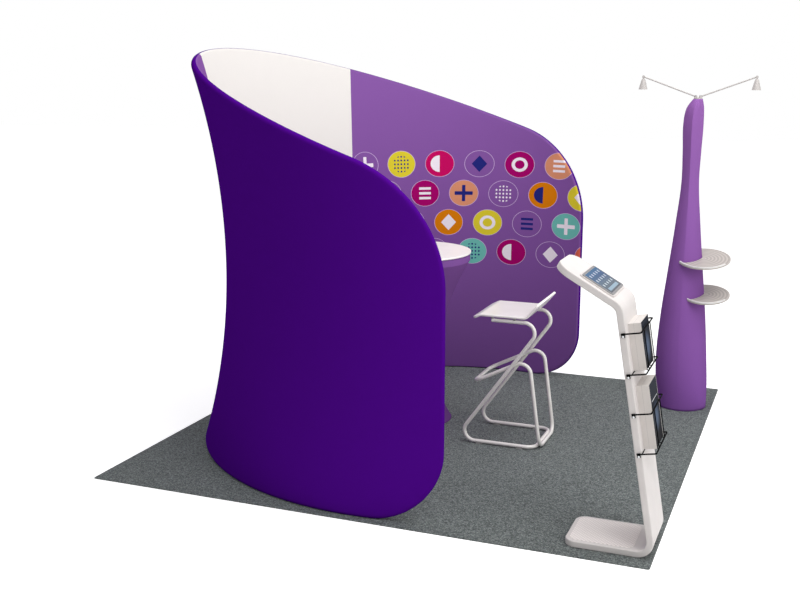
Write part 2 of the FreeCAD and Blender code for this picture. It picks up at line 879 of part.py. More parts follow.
tower_base = new_body("tower_base")
base_half = new_sketch(tower_base, "TowerBaseHalf", "XZ_Plane")
base_radius = S.tower_foot_radius - S.cover_thick * 2 - S.seat_gap
mast_bore = S.mast_radius + S.running_gap
outline(base_half, (
    (0, 0),
    (base_radius, 0),
    (base_radius, S.tower_base_thick),
    (S.tower_boss_radius, S.tower_base_thick),
    (S.tower_boss_radius, S.tower_boss_height),
    (mast_bore, S.tower_boss_height),
    (mast_bore, S.tower_base_thick),
    (0, S.tower_base_thick),
))
spin(tower_base, base_half)
place(tower_base, S.tower_x, S.tower_y, BOUND_GROUND)


def round_tube(label, radius, wall, length, x, y, z):
    """Straight upright tube as one cylinder cut from another."""
    outer = document.addObject("Part::Cylinder", label + "_outside")
    inner = document.addObject("Part::Cylinder", label + "_bore")
    bind(outer, Radius=radius, Height=length)
    bind(inner, Radius=radius - wall, Height=length)
    for item in (outer, inner):
        place(item, x, y, z)
    item = document.addObject("Part::Cut", label)
    item.Base = outer
    item.Tool = inner
    return keep(item, label)


crown_top = S.tower_height - S.crown_top_depth
mast_top = S.tower_shoulder
mast_length = mast_top - S.tower_base_thick
mast_foot = BOUND_GROUND + S.tower_base_thick
round_tube("tower_mast", S.mast_radius, S.mast_wall, mast_length, S.tower_x, S.tower_y, mast_foot)

# Crown: moulded shell that gives the cover its squared top, with a socket for the mast


def tower_slab(low, high):
    """Round block about the tower's axis between two heights, wider than the cover."""
    return Part.makeCylinder(2 * N.tower_foot_radius, high - low, TOWER + Z_AXIS * low)


CROWN_INSET = N.cover_thick + N.seat_gap
CROWN_TOP = N.tower_height - N.crown_top_depth
crown = tower_hull(CROWN_INSET).common(tower_slab(N.crown_foot, CROWN_TOP))
crown = crown.cut(tower_hull(CROWN_INSET + N.crown_wall).common(tower_slab(N.crown_foot, N.tower_shoulder)))
sleeve_foot = TOWER + Z_AXIS * N.crown_foot
sleeve_radius = N.mast_radius + N.crown_sleeve_wall
sleeve = Part.makeCylinder(sleeve_radius, N.tower_shoulder - N.crown_foot, sleeve_foot)
socket = Part.makeCylinder(N.mast_radius + N.running_gap, N.tower_shoulder - N.crown_foot, sleeve_foot)
web = Part.makeCylinder(2 * N.tower_foot_radius, N.crown_wall, sleeve_foot)
web = web.common(tower_hull(CROWN_INSET))
shaped("tower_crown", crown.fuse([sleeve, web]).cut(socket))

# Crescent shelves: a tilted disc notched round the tower, with a low lip along its front
for name, (height, radius, reach) in SHELVES.items():
    disc = Part.makeCylinder(radius, N.shelf_thick)
    rim = Part.makeCylinder(radius, N.shelf_lip_height, Z_AXIS * N.shelf_thick)
    rim = rim.cut(Part.makeCylinder(radius - N.shelf_lip_thick, N.shelf_lip_height, Z_AXIS * N.shelf_thick))
    behind = Part.makeBox(
        2 * radius, 2 * radius, N.shelf_lip_height,
        Vector(-radius, -radius / 2, N.shelf_thick),
    )
    shelf = disc.fuse(rim.cut(behind)).removeSplitter()
    shelf.Placement = shelf_place(height, reach)
    notch = tower_hull(-N.shelf_notch_gap)
    shelf_solid = max(shelf.cut(notch).Solids, key=lambda solid: solid.Volume)
    shaped(f"tower_shelf_{name}", shelf_solid)

brackets = []
for height, radius, reach in SHELVES.values():
    collar_foot = height - N.bracket_collar_height / 2
    spot = TOWER + Z_AXIS * collar_foot
    ring = Part.makeCylinder(N.mast_radius + N.bracket_collar_wall, N.bracket_collar_height, spot)
    bore = Part.makeCylinder(N.mast_radius + N.running_gap, N.bracket_collar_height, spot)
    brackets.append(ring.fuse(bracket_bar(height, reach, 0)).cut(bore).removeSplitter())
shaped("tower_shelf_brackets", Part.makeCompound(brackets))

# Light hub on the crown, with a stud through the top of the cover
hub = new_body("light_hub")
hub_half = new_sketch(hub, "HubHalf", "XZ_Plane")
hub_low = S.tower_height + S.seat_gap
hub_top = hub_low + S.hub_thick
outline(hub_half, (
    (0, crown_top),
    (S.hub_stud_radius, crown_top),
    (S.hub_stud_radius, hub_low),
    (S.hub_radius, hub_low),
    (S.hub_radius, hub_top),
    (0, hub_top),
))
spin(hub, hub_half)
screw_holes = new_sketch(hub, "HubScrewHoles", "XY_Plane", hub_top - S.pivot_depth)
for offset in (S.light_pivot_offset, -S.light_pivot_offset):
    circle(screw_holes, S.pivot_radius + S.running_gap, offset, 0)
pocket(hub, screw_holes, S.pivot_depth)
place(hub, S.tower_x, S.tower_y, BOUND_GROUND)

HUB_TOP = N.tower_height + N.seat_gap + N.hub_thick
EYE_LOW = HUB_TOP + N.running_gap
EYE_TOP = EYE_LOW + N.arm_eye_height
HANDS = {"left": -1, "right": 1}


def pivot_spot(hand, height):
    return TOWER + Vector(hand * N.light_pivot_offset, 0, height)


def knuckle_spot(hand):
    return TOWER + Vector(hand * N.light_reach, 0, EYE_LOW + N.arm_eye_height / 2 + N.light_climb)


screws = []
for hand in HANDS.values():
    foot = pivot_spot(hand, HUB_TOP - N.pivot_depth)
    shank_length = N.pivot_depth + EYE_TOP + N.running_gap - HUB_TOP
    shank = Part.makeCylinder(N.pivot_radius, shank_length, foot)
    head = Part.makeCylinder(N.pivot_head_radius, N.pivot_head_height, foot + Z_AXIS * shank_length)
    screws.append(shank.fuse(head).removeSplitter())
shaped("light_pivot_screws", Part.makeCompound(screws))


def across_cylinder(radius, width, centre):
    """Cylinder along Y, centred on a point."""
    return Part.makeCylinder(radius, width, centre - Y_AXIS * (width / 2), Y_AXIS)


for name, hand in HANDS.items():
    eye_middle = pivot_spot(hand, EYE_LOW + N.arm_eye_height / 2)
    end = knuckle_spot(hand)
    run = end - eye_middle
    stem = Part.makeCylinder(N.arm_radius, run.Length, eye_middle, run)
    eye = Part.makeCylinder(N.arm_eye_radius, N.arm_eye_height, pivot_spot(hand, EYE_LOW))
    knuckle = across_cylinder(N.knuckle_radius, N.knuckle_thick, end)
    headroom = Part.makeCylinder(
        N.pivot_head_radius + N.seat_gap, N.arm_eye_height + N.overrun, pivot_spot(hand, EYE_TOP),
    )
    cheeks = [
        across_cylinder(N.lamp_neck_drop, N.overrun, end + Y_AXIS * shift)
        for shift in (
            (N.knuckle_thick + N.overrun) / 2,
            -(N.knuckle_thick + N.overrun) / 2,
        )
    ]
    bore = Part.makeCylinder(N.pivot_radius + N.running_gap, N.arm_eye_height, pivot_spot(hand, EYE_LOW))
    pin_hole = across_cylinder(N.lamp_pin_radius + N.running_gap, N.knuckle_thick, end)
    arm = stem.cut(cheeks + [headroom]).fuse([eye, knuckle]).cut([bore, pin_hole])
    shaped(f"light_arm_{name}", arm.removeSplitter())

# Spot lamps: a forked neck on the arm's knuckle, a flared shade and a lens
EAR_GAP = N.knuckle_thick / 2 + N.running_gap
EAR_WIDTH = 2 * (EAR_GAP + N.lamp_ear_thick)


def turned(centre, rows):
    """Solid of revolution about a vertical line: rows are radius and drop below the centre."""
    spots = [centre + X_AXIS * radius - Z_AXIS * drop for radius, drop in rows]
    return Part.Face(Part.makePolygon(spots + spots[:1])).revolve(centre, Z_AXIS, 360)


def bell_radius(drop):
    """Inner radius of the shade at a drop below the knuckle."""
    throat = N.lamp_throat_drop + N.lamp_wall
    flare_share = (drop - throat) / (N.lamp_mouth_drop - throat)
    return N.lamp_throat_radius - N.lamp_wall + flare_share * (N.lamp_mouth_radius - N.lamp_throat_radius)


for name, hand in HANDS.items():
    end = knuckle_spot(hand)
    ear = across_cylinder(N.knuckle_radius, EAR_WIDTH, end)
    strap = Part.makeBox(
        N.lamp_strap_width, EAR_WIDTH, N.lamp_neck_drop + N.lamp_wall,
        end - Vector(N.lamp_strap_width / 2, EAR_WIDTH / 2, N.lamp_neck_drop + N.lamp_wall),
    )
    room = across_cylinder(N.lamp_neck_drop - N.lamp_wall, 2 * EAR_GAP, end)
    pin_bar = across_cylinder(N.lamp_pin_radius, EAR_WIDTH, end)
    shade = turned(end, (
        (0, N.lamp_neck_drop),
        (N.lamp_neck_radius, N.lamp_neck_drop),
        (N.lamp_throat_radius, N.lamp_throat_drop),
        (N.lamp_mouth_radius, N.lamp_mouth_drop),
        (N.lamp_mouth_radius - N.lamp_wall, N.lamp_mouth_drop),
        (N.lamp_throat_radius - N.lamp_wall, N.lamp_throat_drop + N.lamp_wall),
        (0, N.lamp_throat_drop + N.lamp_wall),
    ))
    housing = ear.fuse(strap).cut(room).fuse([shade, pin_bar])
    shaped(f"lamp_housing_{name}", housing.removeSplitter())

    low = N.lamp_mouth_drop - N.lens_recess
    high = low - N.lens_thick
    shaped(f"lamp_lens_{name}", turned(end, (
        (0, high),
        (bell_radius(high) - N.running_gap, high),
        (bell_radius(low) - N.running_gap, low),
        (0, low),
    )))


# Counter: base, post and spider carry a round top; a waisted cover hangs from the drum ring

counter_base = new_body("counter_base")
counter_base_half = new_sketch(counter_base, "CounterBaseHalf", "XZ_Plane")
counter_base_radius = S.counter_foot_radius - S.cover_thick - S.counter_base_clearance
post_bore = S.post_radius + S.running_gap
outline(counter_base_half, (
    (0, 0),
    (counter_base_radius, 0),
    (counter_base_radius, S.counter_base_thick),
    (S.counter_boss_radius, S.counter_base_thick),
    (S.counter_boss_radius, S.counter_boss_height),
    (post_bore, S.counter_boss_height),
    (post_bore, S.counter_base_thick),
    (0, S.counter_base_thick),
))
spin(counter_base, counter_base_half)
place(counter_base, S.counter_x, S.counter_y, BOUND_GROUND)

top_under = S.counter_height - S.counter_top_thick
spider_low = top_under - S.flange_thick
post_length = spider_low - S.counter_base_thick
round_tube(
    "counter_post", S.post_radius, S.post_wall, post_length,
    S.counter_x, S.counter_y, BOUND_GROUND + S.counter_base_thick,
)

spider = new_body("counter_spider")
spider_plan = new_sketch(spider, "SpiderPlan", "XY_Plane", spider_low)
half_arm = S.flange_arm_width / 2
arm_reach = S.counter_ring_radius - S.counter_ring_wall - S.flange_arm_gap
outline(spider_plan, rectangle(-arm_reach, arm_reach, -half_arm, half_arm))
pad(spider, spider_plan, S.flange_thick)
spider_cross = new_sketch(spider, "SpiderCross", "XY_Plane", spider_low)
outline(spider_cross, rectangle(-half_arm, half_arm, -arm_reach, arm_reach))
pad(spider, spider_cross, S.flange_thick)
spider_hub = new_sketch(spider, "SpiderHub", "XY_Plane", spider_low - S.flange_hub_height)
circle(spider_hub, S.flange_hub_radius)
pad(spider, spider_hub, S.flange_hub_height)
spider_bore = new_sketch(spider, "SpiderBore", "XY_Plane", spider_low - S.flange_hub_height)
circle(spider_bore, post_bore)
pocket(spider, spider_bore, S.flange_hub_height)
place(spider, S.counter_x, S.counter_y, BOUND_GROUND)

counter_ring = S.counter_ring_radius
ring_low = BOUND_GROUND + top_under - S.counter_rim
round_tube(
    "counter_drum_ring", counter_ring, S.counter_ring_wall, S.counter_rim,
    S.counter_x, S.counter_y, ring_low,
)

counter_top = new_body("counter_top")
counter_top_plan = new_sketch(counter_top, "CounterTopPlan", "XY_Plane", top_under)
circle(counter_top_plan, S.counter_radius)
counter_top_disc = pad(counter_top, counter_top_plan, S.counter_top_thick)


def is_circle(edge):
    return isinstance(edge.Curve, Part.Circle)


counter_top.Tip = round_edges(counter_top, counter_top_disc, is_circle, S.counter_top_round)
place(counter_top, S.counter_x, S.counter_y, BOUND_GROUND)

COUNTER = Vector(N.counter_x, N.counter_y, GROUND)


def counter_side(inset):
    """Upright rim, waisted flank and flared foot, drawn from the top down."""
    def spot(radius, height):
        return COUNTER + Vector(radius - inset, 0, height)

    rim_radius = N.counter_ring_radius + N.seat_gap + N.cover_thick
    rim_top = N.counter_height - N.counter_top_thick - N.seat_gap
    rim_low = N.counter_height - N.counter_top_thick - N.counter_rim
    rim = (spot(rim_radius, rim_top), spot(rim_radius, rim_low))
    flank = (rim[1], spot(N.counter_upper_radius, N.counter_upper_height),
             spot(N.counter_waist_radius, N.counter_waist_height))
    flare = (flank[2], spot(N.counter_lower_radius, N.counter_lower_height),
             spot(N.counter_foot_radius, N.seat_gap))
    return [Part.LineSegment(*rim).toShape(), Part.Arc(*flank).toShape(), Part.Arc(*flare).toShape()]


counter_outside = counter_side(0)
counter_inside = counter_side(N.cover_thick)
closing = [
    Part.LineSegment(outer.Vertexes[end].Point, inner.Vertexes[end].Point).toShape()
    for outer, inner, end in (
        (counter_outside[0], counter_inside[0], 0),
        (counter_outside[-1], counter_inside[-1], -1),
    )
]
counter_wall = Part.Wire(Part.__sortEdges__(counter_outside + counter_inside + closing))
shaped("counter_cover", Part.Face(counter_wall).revolve(COUNTER, Z_AXIS, 360))


# Stool: two bent side frames, a crossbar, a footrest loop that runs into the rear legs, a folded seat

STOOL_LOW = GROUND + N.glide_lift + N.stool_tube_radius
STOOL_RAIL = GROUND + N.stool_rail_height
STOOL_HALF = N.stool_spacing / 2


def stool_spot(forward, across, z):
    """Point a distance forward of the rear crossbar, beside the stool's middle line."""
    return Vector(N.stool_rear_x - forward, N.stool_y + across, z)


def stool_tube(edges):
    return tube(edges, N.stool_tube_radius, N.stool_tube_wall)


CROSSBAR_HALF = STOOL_HALF - 2 * N.stool_bend
for wing, side in SIDES.items():
    across = -side * STOOL_HALF
    frame = bent_run([
        stool_spot(N.stool_rail_length - N.stool_rear_overhang, across, STOOL_RAIL),
        stool_spot(-N.stool_rear_overhang, across, STOOL_RAIL),
        stool_spot(N.stool_depth, across, STOOL_LOW),
        stool_spot(0, across, STOOL_LOW),
        stool_spot(0, -side * CROSSBAR_HALF, STOOL_LOW),
    ], N.stool_bend)
    shaped(f"stool_side_frame_{wing}", stool_tube(frame))

crossbar = [stool_spot(0, -CROSSBAR_HALF, STOOL_LOW), stool_spot(0, CROSSBAR_HALF, STOOL_LOW)]
shaped("stool_crossbar", stool_tube([Part.LineSegment(*crossbar).toShape()]))

# The loop's arms lie against the inner sides of the diagonals
LOOP_HALF = STOOL_HALF - 2 * N.stool_tube_radius - N.seat_gap
LOOP_REAR = -2 * N.stool_tube_radius - N.seat_gap


def loop_front(across):
    return stool_spot(N.footrest_forward, across, GROUND + N.footrest_height)


def loop_top(across):
    return stool_spot(N.leg_top_forward, across, GROUND + N.leg_top_height)


def loop_joint(across):
    """Where footrest and leg tubes butt together on an arm."""
    return loop_front(across) + (loop_top(across) - loop_front(across)) * N.footrest_cut_share


footrest = bent_run([
    loop_joint(-LOOP_HALF),
    loop_front(-LOOP_HALF),
    loop_front(LOOP_HALF),
    loop_joint(LOOP_HALF),
], N.stool_bend)
shaped("stool_footrest", stool_tube(footrest))

legs = bent_run([
    loop_joint(-LOOP_HALF),
    loop_top(-LOOP_HALF),
    stool_spot(LOOP_REAR, -LOOP_HALF, STOOL_LOW),
    stool_spot(LOOP_REAR, LOOP_HALF, STOOL_LOW),
    loop_top(LOOP_HALF),
    loop_joint(LOOP_HALF),
], N.stool_bend)
shaped("stool_rear_legs", stool_tube(legs))

# Clip-on glides under the runners
glides = []
for side in SIDES.values():
    for forward in (N.glide_inset, N.stool_depth - N.glide_inset - N.stool_bend):
        middle = stool_spot(forward, side * STOOL_HALF, GROUND)
        block = Part.makeBox(
            N.glide_length, N.glide_width, N.glide_lift + N.stool_tube_radius,
            middle - Vector(N.glide_length, N.glide_width, 0) / 2,
        )
        groove = Part.makeCylinder(
            N.stool_tube_radius + N.running_gap, N.glide_length + N.overrun,
            middle + Z_AXIS * (STOOL_LOW - GROUND) - X_AXIS * (N.glide_length + N.overrun) / 2, X_AXIS,
        )
        glides.append(block.cut(groove))
shaped("stool_glides", Part.makeCompound(glides))

# Seat pads: round blocks saddled on the rails, and the folded seat that lies on them
SEAT_UNDER = STOOL_RAIL + N.stool_tube_radius + N.seat_lift
seat_pads = []
for side in SIDES.values():
    rail_front = stool_spot(N.seat_front, side * STOOL_HALF, STOOL_RAIL)
    rail_bar = Part.makeCylinder(N.stool_tube_radius + N.running_gap, N.seat_depth, rail_front, X_AXIS)
    for forward in (N.seat_front - N.seat_pad_inset, N.seat_front - N.seat_depth + N.seat_pad_inset):
        pad_foot = stool_spot(forward, side * STOOL_HALF, STOOL_RAIL)
        block = Part.makeCylinder(N.seat_pad_radius, SEAT_UNDER - STOOL_RAIL, pad_foot)
        seat_pads.append(block.cut(rail_bar))
shaped("stool_seat_pads", Part.makeCompound(seat_pads))

SEAT_LINE = SEAT_UNDER + N.seat_thick / 2
seat_path = bent_run([
    stool_spot(N.seat_front + N.seat_lip_length, 0, SEAT_LINE - N.seat_lip_fall),
    stool_spot(N.seat_front, 0, SEAT_LINE),
    stool_spot(N.seat_front - N.seat_depth, 0, SEAT_LINE),
    stool_spot(N.seat_front - N.seat_depth - N.seat_back_length, 0, SEAT_LINE + N.seat_back_rise),
], N.seat_bend)
seat = ribbon(seat_path, N.seat_width, N.seat_thick, Y_AXIS)


def end_corners(solid, end, heading, thick):
    """Short edges across a flat bar's end, whose rounding shows in plan."""
    def at_end(edge):
        off = abs((edge.CenterOfMass - end).dot(heading))
        return off < N.running_gap and abs(edge.Length - thick) < N.running_gap
    return [edge for edge in solid.Edges if at_end(edge)]


def softened(solid, radius):
    """The solid with all its sharp edges rounded."""
    sharp = []
    for edge in solid.Edges:
        middle = edge.valueAt((edge.FirstParameter + edge.LastParameter) / 2)
        faces = solid.ancestorsOfType(edge, Part.Face)
        normals = [face.normalAt(*face.Surface.parameter(middle)) for face in faces]
        if len(normals) == 2 and normals[0].dot(normals[1]) < ALIGNED_SHARE:
            sharp.append(edge)
    return solid.makeFillet(radius, sharp)


seat_corners = []
for run, tip in ((seat_path[0], 0), (seat_path[-1], -1)):
    end = run.Vertexes[tip].Point
    seat_corners += end_corners(seat, end, run.tangentAt(run.FirstParameter), N.seat_thick)
shaped("stool_seat", softened(seat.makeFillet(N.seat_corner, seat_corners), N.seat_round))


# Kiosk: one board bends from the foot up into a leaning column and over into a sloped head

LEAN = math.radians(N.column_lean)
SLOPE = math.radians(N.head_slope)
COLUMN_FOOT_Z = GROUND + N.column_thick / 2
COLUMN_FOOT_X = N.kiosk_back + N.kiosk_length - N.column_inset
COLUMN_UP = Vector(-math.sin(LEAN), 0, math.cos(LEAN))
COLUMN_OUT = Vector(math.cos(LEAN), 0, math.sin(LEAN))
HEAD_ALONG = Vector(-math.cos(SLOPE), 0, math.sin(SLOPE))
HEAD_UP = Vector(math.sin(SLOPE), 0, math.cos(SLOPE))
column_foot = Vector(COLUMN_FOOT_X, N.kiosk_y, COLUMN_FOOT_Z)
column_rise = (GROUND + N.neck_height - COLUMN_FOOT_Z) / math.cos(LEAN)
neck = column_foot + COLUMN_UP * column_rise
head_tip = neck + HEAD_ALONG * N.head_length
foot_end = Vector(N.kiosk_back, N.kiosk_y, COLUMN_FOOT_Z)
board_path = bent_run([foot_end, column_foot, neck, head_tip], N.neck_bend)
board = ribbon(board_path, N.column_width, N.column_thick, Y_AXIS)
tip_corners = end_corners(board, head_tip, HEAD_ALONG, N.column_thick)
board = board.makeFillet(N.head_corner, tip_corners)
foot_corners = end_corners(board, foot_end, X_AXIS, N.column_thick)
board = board.makeFillet(N.kiosk_foot_corner, foot_corners)
shaped("kiosk_column", softened(board, N.column_round))

kiosk_mat = new_body("kiosk_foot_mat")
mat_plan = new_sketch(kiosk_mat, "KioskMatPlan", "XY_Plane")
mat_back = S.kiosk_back + S.mat_margin
half_mat = S.column_width / 2 - S.mat_margin
outline(mat_plan, rectangle(mat_back, mat_back + S.mat_length, -half_mat, half_mat))
mat_slab = pad(kiosk_mat, mat_plan, S.mat_thick)
kiosk_mat.Tip = round_edges(kiosk_mat, mat_slab, is_upright, S.mat_corner)
bind(kiosk_mat, Placement__Base__y=S.kiosk_y, Placement__Base__z=BOUND_GROUND + S.column_thick)

TABLET_SPOT = neck + HEAD_ALONG * N.tablet_along + HEAD_UP * (N.column_thick / 2)
HEAD_TURN = Rotation(Y_AXIS, N.head_slope)


def head_plate(depth, width, low, high):
    """Plate on the head's upper face, centred on the tablet's spot."""
    plate = Part.makeBox(depth, width, high - low, Vector(-depth / 2, -width / 2, low))
    plate.Placement = Placement(TABLET_SPOT, HEAD_TURN)
    return plate


def plate_corners(plate):
    """Edges that stand square to the head's face."""
    def square(edge):
        run = edge.Vertexes[-1].Point - edge.Vertexes[0].Point
        return abs(run.dot(HEAD_UP)) > ALIGNED_SHARE * run.Length
    return [edge for edge in plate.Edges if square(edge)]


def rounded_plate(depth, width, low, high, radius):
    plate = head_plate(depth, width, low, high)
    return plate.makeFillet(radius, plate_corners(plate))


cradle_depth = N.tablet_depth + 2 * N.cradle_border
cradle_width = N.tablet_width + 2 * N.cradle_border
tablet_low = N.cradle_floor
tablet_top = tablet_low + N.tablet_thick
cradle_radius = N.tablet_corner + N.cradle_border
tray = rounded_plate(cradle_depth, cradle_width, 0, tablet_low + N.cradle_wall, cradle_radius)
well = rounded_plate(
    N.tablet_depth + 2 * N.seat_gap, N.tablet_width + 2 * N.seat_gap,
    tablet_low, tablet_top, N.tablet_corner + N.seat_gap,
)
shaped("tablet_cradle", tray.cut(well))

tablet = rounded_plate(N.tablet_depth, N.tablet_width, tablet_low, tablet_top, N.tablet_corner)
screen_depth = N.tablet_depth - 2 * N.tablet_bezel
screen_width = N.tablet_width - 2 * N.tablet_bezel
screen = head_plate(screen_depth, screen_width, tablet_top - N.glass_thick, tablet_top)
shaped("tablet_body", tablet.cut(screen))
shaped("tablet_glass", screen)

# Wire racks on the column's face: two loops, a wire floor and four tabs screwed to the column
COLUMN_TURN = Rotation(Y_AXIS, -N.column_lean)


def column_face(height):
    """Middle of the column's outer face at a height above the carpet."""
    rise = (GROUND + height - COLUMN_FOOT_Z) / math.cos(LEAN)
    return column_foot + COLUMN_UP * rise + COLUMN_OUT * (N.column_thick / 2)


RACK_HALF = N.column_width / 2 + N.rack_plate_thick
RACK_WELD = RACK_HALF + N.rack_wire_radius / 2


def rack_loop(rise):
    """Loop from a tab on one side of the column, round the front of the carton, to the other tab."""
    back = -N.rack_setback
    spots = [Vector(back, -RACK_WELD, rise), Vector(N.rack_depth, -RACK_WELD, rise),
             Vector(N.rack_depth, RACK_WELD, rise), Vector(back, RACK_WELD, rise)]
    return rod(bent_run(spots, N.rack_corner), N.rack_wire_radius)


def rack_floor():
    """Cross wire in front of the column, and wires from it to the front of the lower loop."""
    back = Vector(N.rack_strut_radius + N.seat_gap, -RACK_WELD, 0)
    cross_wire = Part.makeCylinder(N.rack_strut_radius, 2 * RACK_WELD, back, Y_AXIS)
    wires = [cross_wire.rotate(back, Y_AXIS, 90)]
    for i in range(int(N.rack_floor_wires)):
        foot = back + Y_AXIS * (2 * RACK_WELD * (i + 1) / (N.rack_floor_wires + 1))
        wires.append(Part.makeCylinder(N.rack_floor_radius, N.rack_depth - foot.x, foot, X_AXIS))
    return wires


RACKS = {
    "upper": (N.rack_upper_height, N.rack_upper_rise, N.carton_upper_height),
    "lower": (N.rack_lower_height, N.rack_lower_rise, N.carton_lower_height),
}
rack_screws = []
for name, (height, rise, carton_height) in RACKS.items():
    spot = Placement(column_face(height), COLUMN_TURN)
    rack_wires = [rack_loop(rise)] + rack_floor()
    holes = []
    for side in SIDES.values():
        strut_foot = Vector(N.rack_depth, side * RACK_HALF / 2, 0)
        rack_wires.append(Part.makeCylinder(N.rack_strut_radius, rise, strut_foot))
        for level in (0, rise):
            tab_low = level + N.rack_wire_radius - N.rack_plate_height
            rack_wires.append(Part.makeBox(
                N.rack_plate_width, N.rack_plate_thick, N.rack_plate_height,
                Vector(-N.rack_setback, min(side * RACK_HALF, side * N.column_width / 2), tab_low),
            ))
            middle = -N.rack_setback + N.rack_plate_width / 2
            screw_height = tab_low + N.screw_head_radius + N.running_gap
            seat = Vector(middle, side * N.column_width / 2, screw_height)
            heading = Y_AXIS * side
            bore_radius = N.screw_radius + N.running_gap
            holes.append(Part.makeCylinder(bore_radius, N.rack_plate_thick, seat, heading))
            shank = Part.makeCylinder(N.screw_radius, N.rack_plate_thick, seat, heading)
            head_seat = seat + heading * N.rack_plate_thick
            head = Part.makeCylinder(N.screw_head_radius, N.screw_head_height, head_seat, heading)
            screw = shank.fuse(head).removeSplitter()
            screw.Placement = spot
            rack_screws.append(screw)
    rack = rack_loop(0).fuse(rack_wires).cut(holes)
    rack.Placement = spot
    shaped(f"kiosk_rack_{name}", rack)
    carton = Part.makeBox(
        N.carton_depth, N.carton_width, carton_height,
        Vector(N.seat_gap, -N.carton_width / 2, N.rack_strut_radius + N.seat_gap),
    )
    carton.Placement = spot
    shaped(f"display_carton_{name}", carton)
shaped("kiosk_rack_screws", Part.makeCompound(rack_screws))


# Check every object, then write each piece to its own file
document.recompute()
failed = [item.Label for item in document.Objects if {"Invalid", "Error"} & set(item.State)]
if failed:
    raise RuntimeError(f"objects that did not build: {failed}")
for piece in PIECES:
    if piece.Shape.isNull() or not piece.Shape.isValid() or not piece.Shape.Solids:
        raise RuntimeError(f"no valid solid: {piece.Label}")
os.makedirs("parts", exist_ok=True)
for piece in PIECES:
    piece.Shape.exportStep(f"parts/{piece.Label}.step")
print(len(PIECES), "pieces written")
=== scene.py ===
import math
import bpy
import numpy as np
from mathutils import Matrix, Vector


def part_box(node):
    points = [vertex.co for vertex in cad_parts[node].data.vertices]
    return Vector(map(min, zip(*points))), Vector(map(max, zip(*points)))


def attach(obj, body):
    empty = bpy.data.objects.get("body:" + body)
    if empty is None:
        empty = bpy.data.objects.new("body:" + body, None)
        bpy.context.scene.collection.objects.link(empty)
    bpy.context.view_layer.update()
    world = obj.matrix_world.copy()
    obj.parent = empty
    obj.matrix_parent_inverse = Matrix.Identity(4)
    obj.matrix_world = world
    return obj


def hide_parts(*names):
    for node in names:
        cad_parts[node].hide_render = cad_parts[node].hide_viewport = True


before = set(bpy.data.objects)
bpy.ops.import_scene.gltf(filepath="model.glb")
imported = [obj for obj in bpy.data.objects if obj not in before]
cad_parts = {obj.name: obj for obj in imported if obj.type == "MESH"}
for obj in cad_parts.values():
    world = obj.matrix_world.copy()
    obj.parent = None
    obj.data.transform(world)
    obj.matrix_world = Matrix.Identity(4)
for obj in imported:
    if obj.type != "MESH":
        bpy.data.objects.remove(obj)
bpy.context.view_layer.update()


# The carpet: a square of grey loop-pile carpet laid loose on the floor, its cut
# edge rounded over. Everything else in the booth stands on it.

def to_linear(colour):
    """Scene-linear RGBA of an sRGB hex colour, by the sRGB curve's two branches."""
    shares = [int(colour[i:i + 2], 16) / 255 for i in (1, 3, 5)]
    linear = [s / 12.92 if s <= 0.04045 else ((s + 0.055) / 1.055) ** 2.4 for s in shares]
    return tuple(linear) + (1.0,)


def add(tree, kind, inputs=(), **options):
    """Adds a shader node with its options. Each input, by name or in order, is a value,
    a socket to link, or a node whose first output is linked."""
    node = tree.nodes.new("ShaderNode" + kind)
    for name, value in options.items():
        setattr(node, name, value)
    for name, value in inputs.items() if isinstance(inputs, dict) else enumerate(inputs):
        if isinstance(value, bpy.types.Node):
            value = value.outputs[0]
        if isinstance(value, bpy.types.NodeSocket):
            tree.links.new(value, node.inputs[name])
        else:
            node.inputs[name].default_value = value
    return node


def new_material(name, roughness, **more):
    """A Principled material, with more of its sockets set by name; returns it with its
    node tree and its shader."""
    material = bpy.data.materials.new(name)
    material.use_nodes = True
    shader = material.node_tree.nodes["Principled BSDF"]
    shader.inputs["Roughness"].default_value = roughness
    for socket, value in more.items():
        socket = socket.replace("_", " ").title().replace("Ior", "IOR")
        shader.inputs[socket].default_value = value
    return material, material.node_tree, shader


def cells(grid):
    """The four corners of each cell of a grid of indices, one row per cell."""
    corners = [grid[:-1, :-1], grid[:-1, 1:], grid[1:, 1:], grid[1:, :-1]]
    return np.stack(corners, -1).reshape(-1, 4)


def piece_from(name, points, faces, material, uv=None, smooth=True):
    """A mesh piece of points and faces, with flat metres at every face corner."""
    mesh = bpy.data.meshes.new(name)
    mesh.from_pydata(points.tolist(), [], faces)
    if uv is not None:
        flat = mesh.uv_layers.new(name="flat_m")
        flat.data.foreach_set("uv", uv.astype(np.float32).reshape(-1))
    mesh.polygons.foreach_set("use_smooth", np.full(len(faces), smooth))
    mesh.materials.append(material)
    mesh.update()
    piece = bpy.data.objects.new(name, mesh)
    bpy.context.collection.objects.link(piece)
    return piece


def surface(name, points, material, uv=None, ring=False, tube=False, caps=False, smooth=True):
    """A piece from a grid of points (rows, columns, 3). With ring the last column joins
    the first, with tube the last row does, and with caps both end rows are closed. uv has
    one more column or row there. Faces look to the side from which the columns run to
    the right while the rows run upwards."""
    rows, columns = points.shape[:2]
    index = np.arange(rows * columns).reshape(rows, columns)
    if ring:
        index = np.hstack([index, index[:, :1]])
    if tube:
        index = np.vstack([index, index[:1]])
    faces = cells(index).tolist()
    if caps:
        faces += [index[0, columns - 1::-1].tolist(), index[-1, :columns].tolist()]
    if uv is not None:
        uv = uv.reshape(-1, 2)[cells(np.arange(index.size).reshape(index.shape))]
    return piece_from(name, points.reshape(-1, 3), faces, material, uv, smooth)


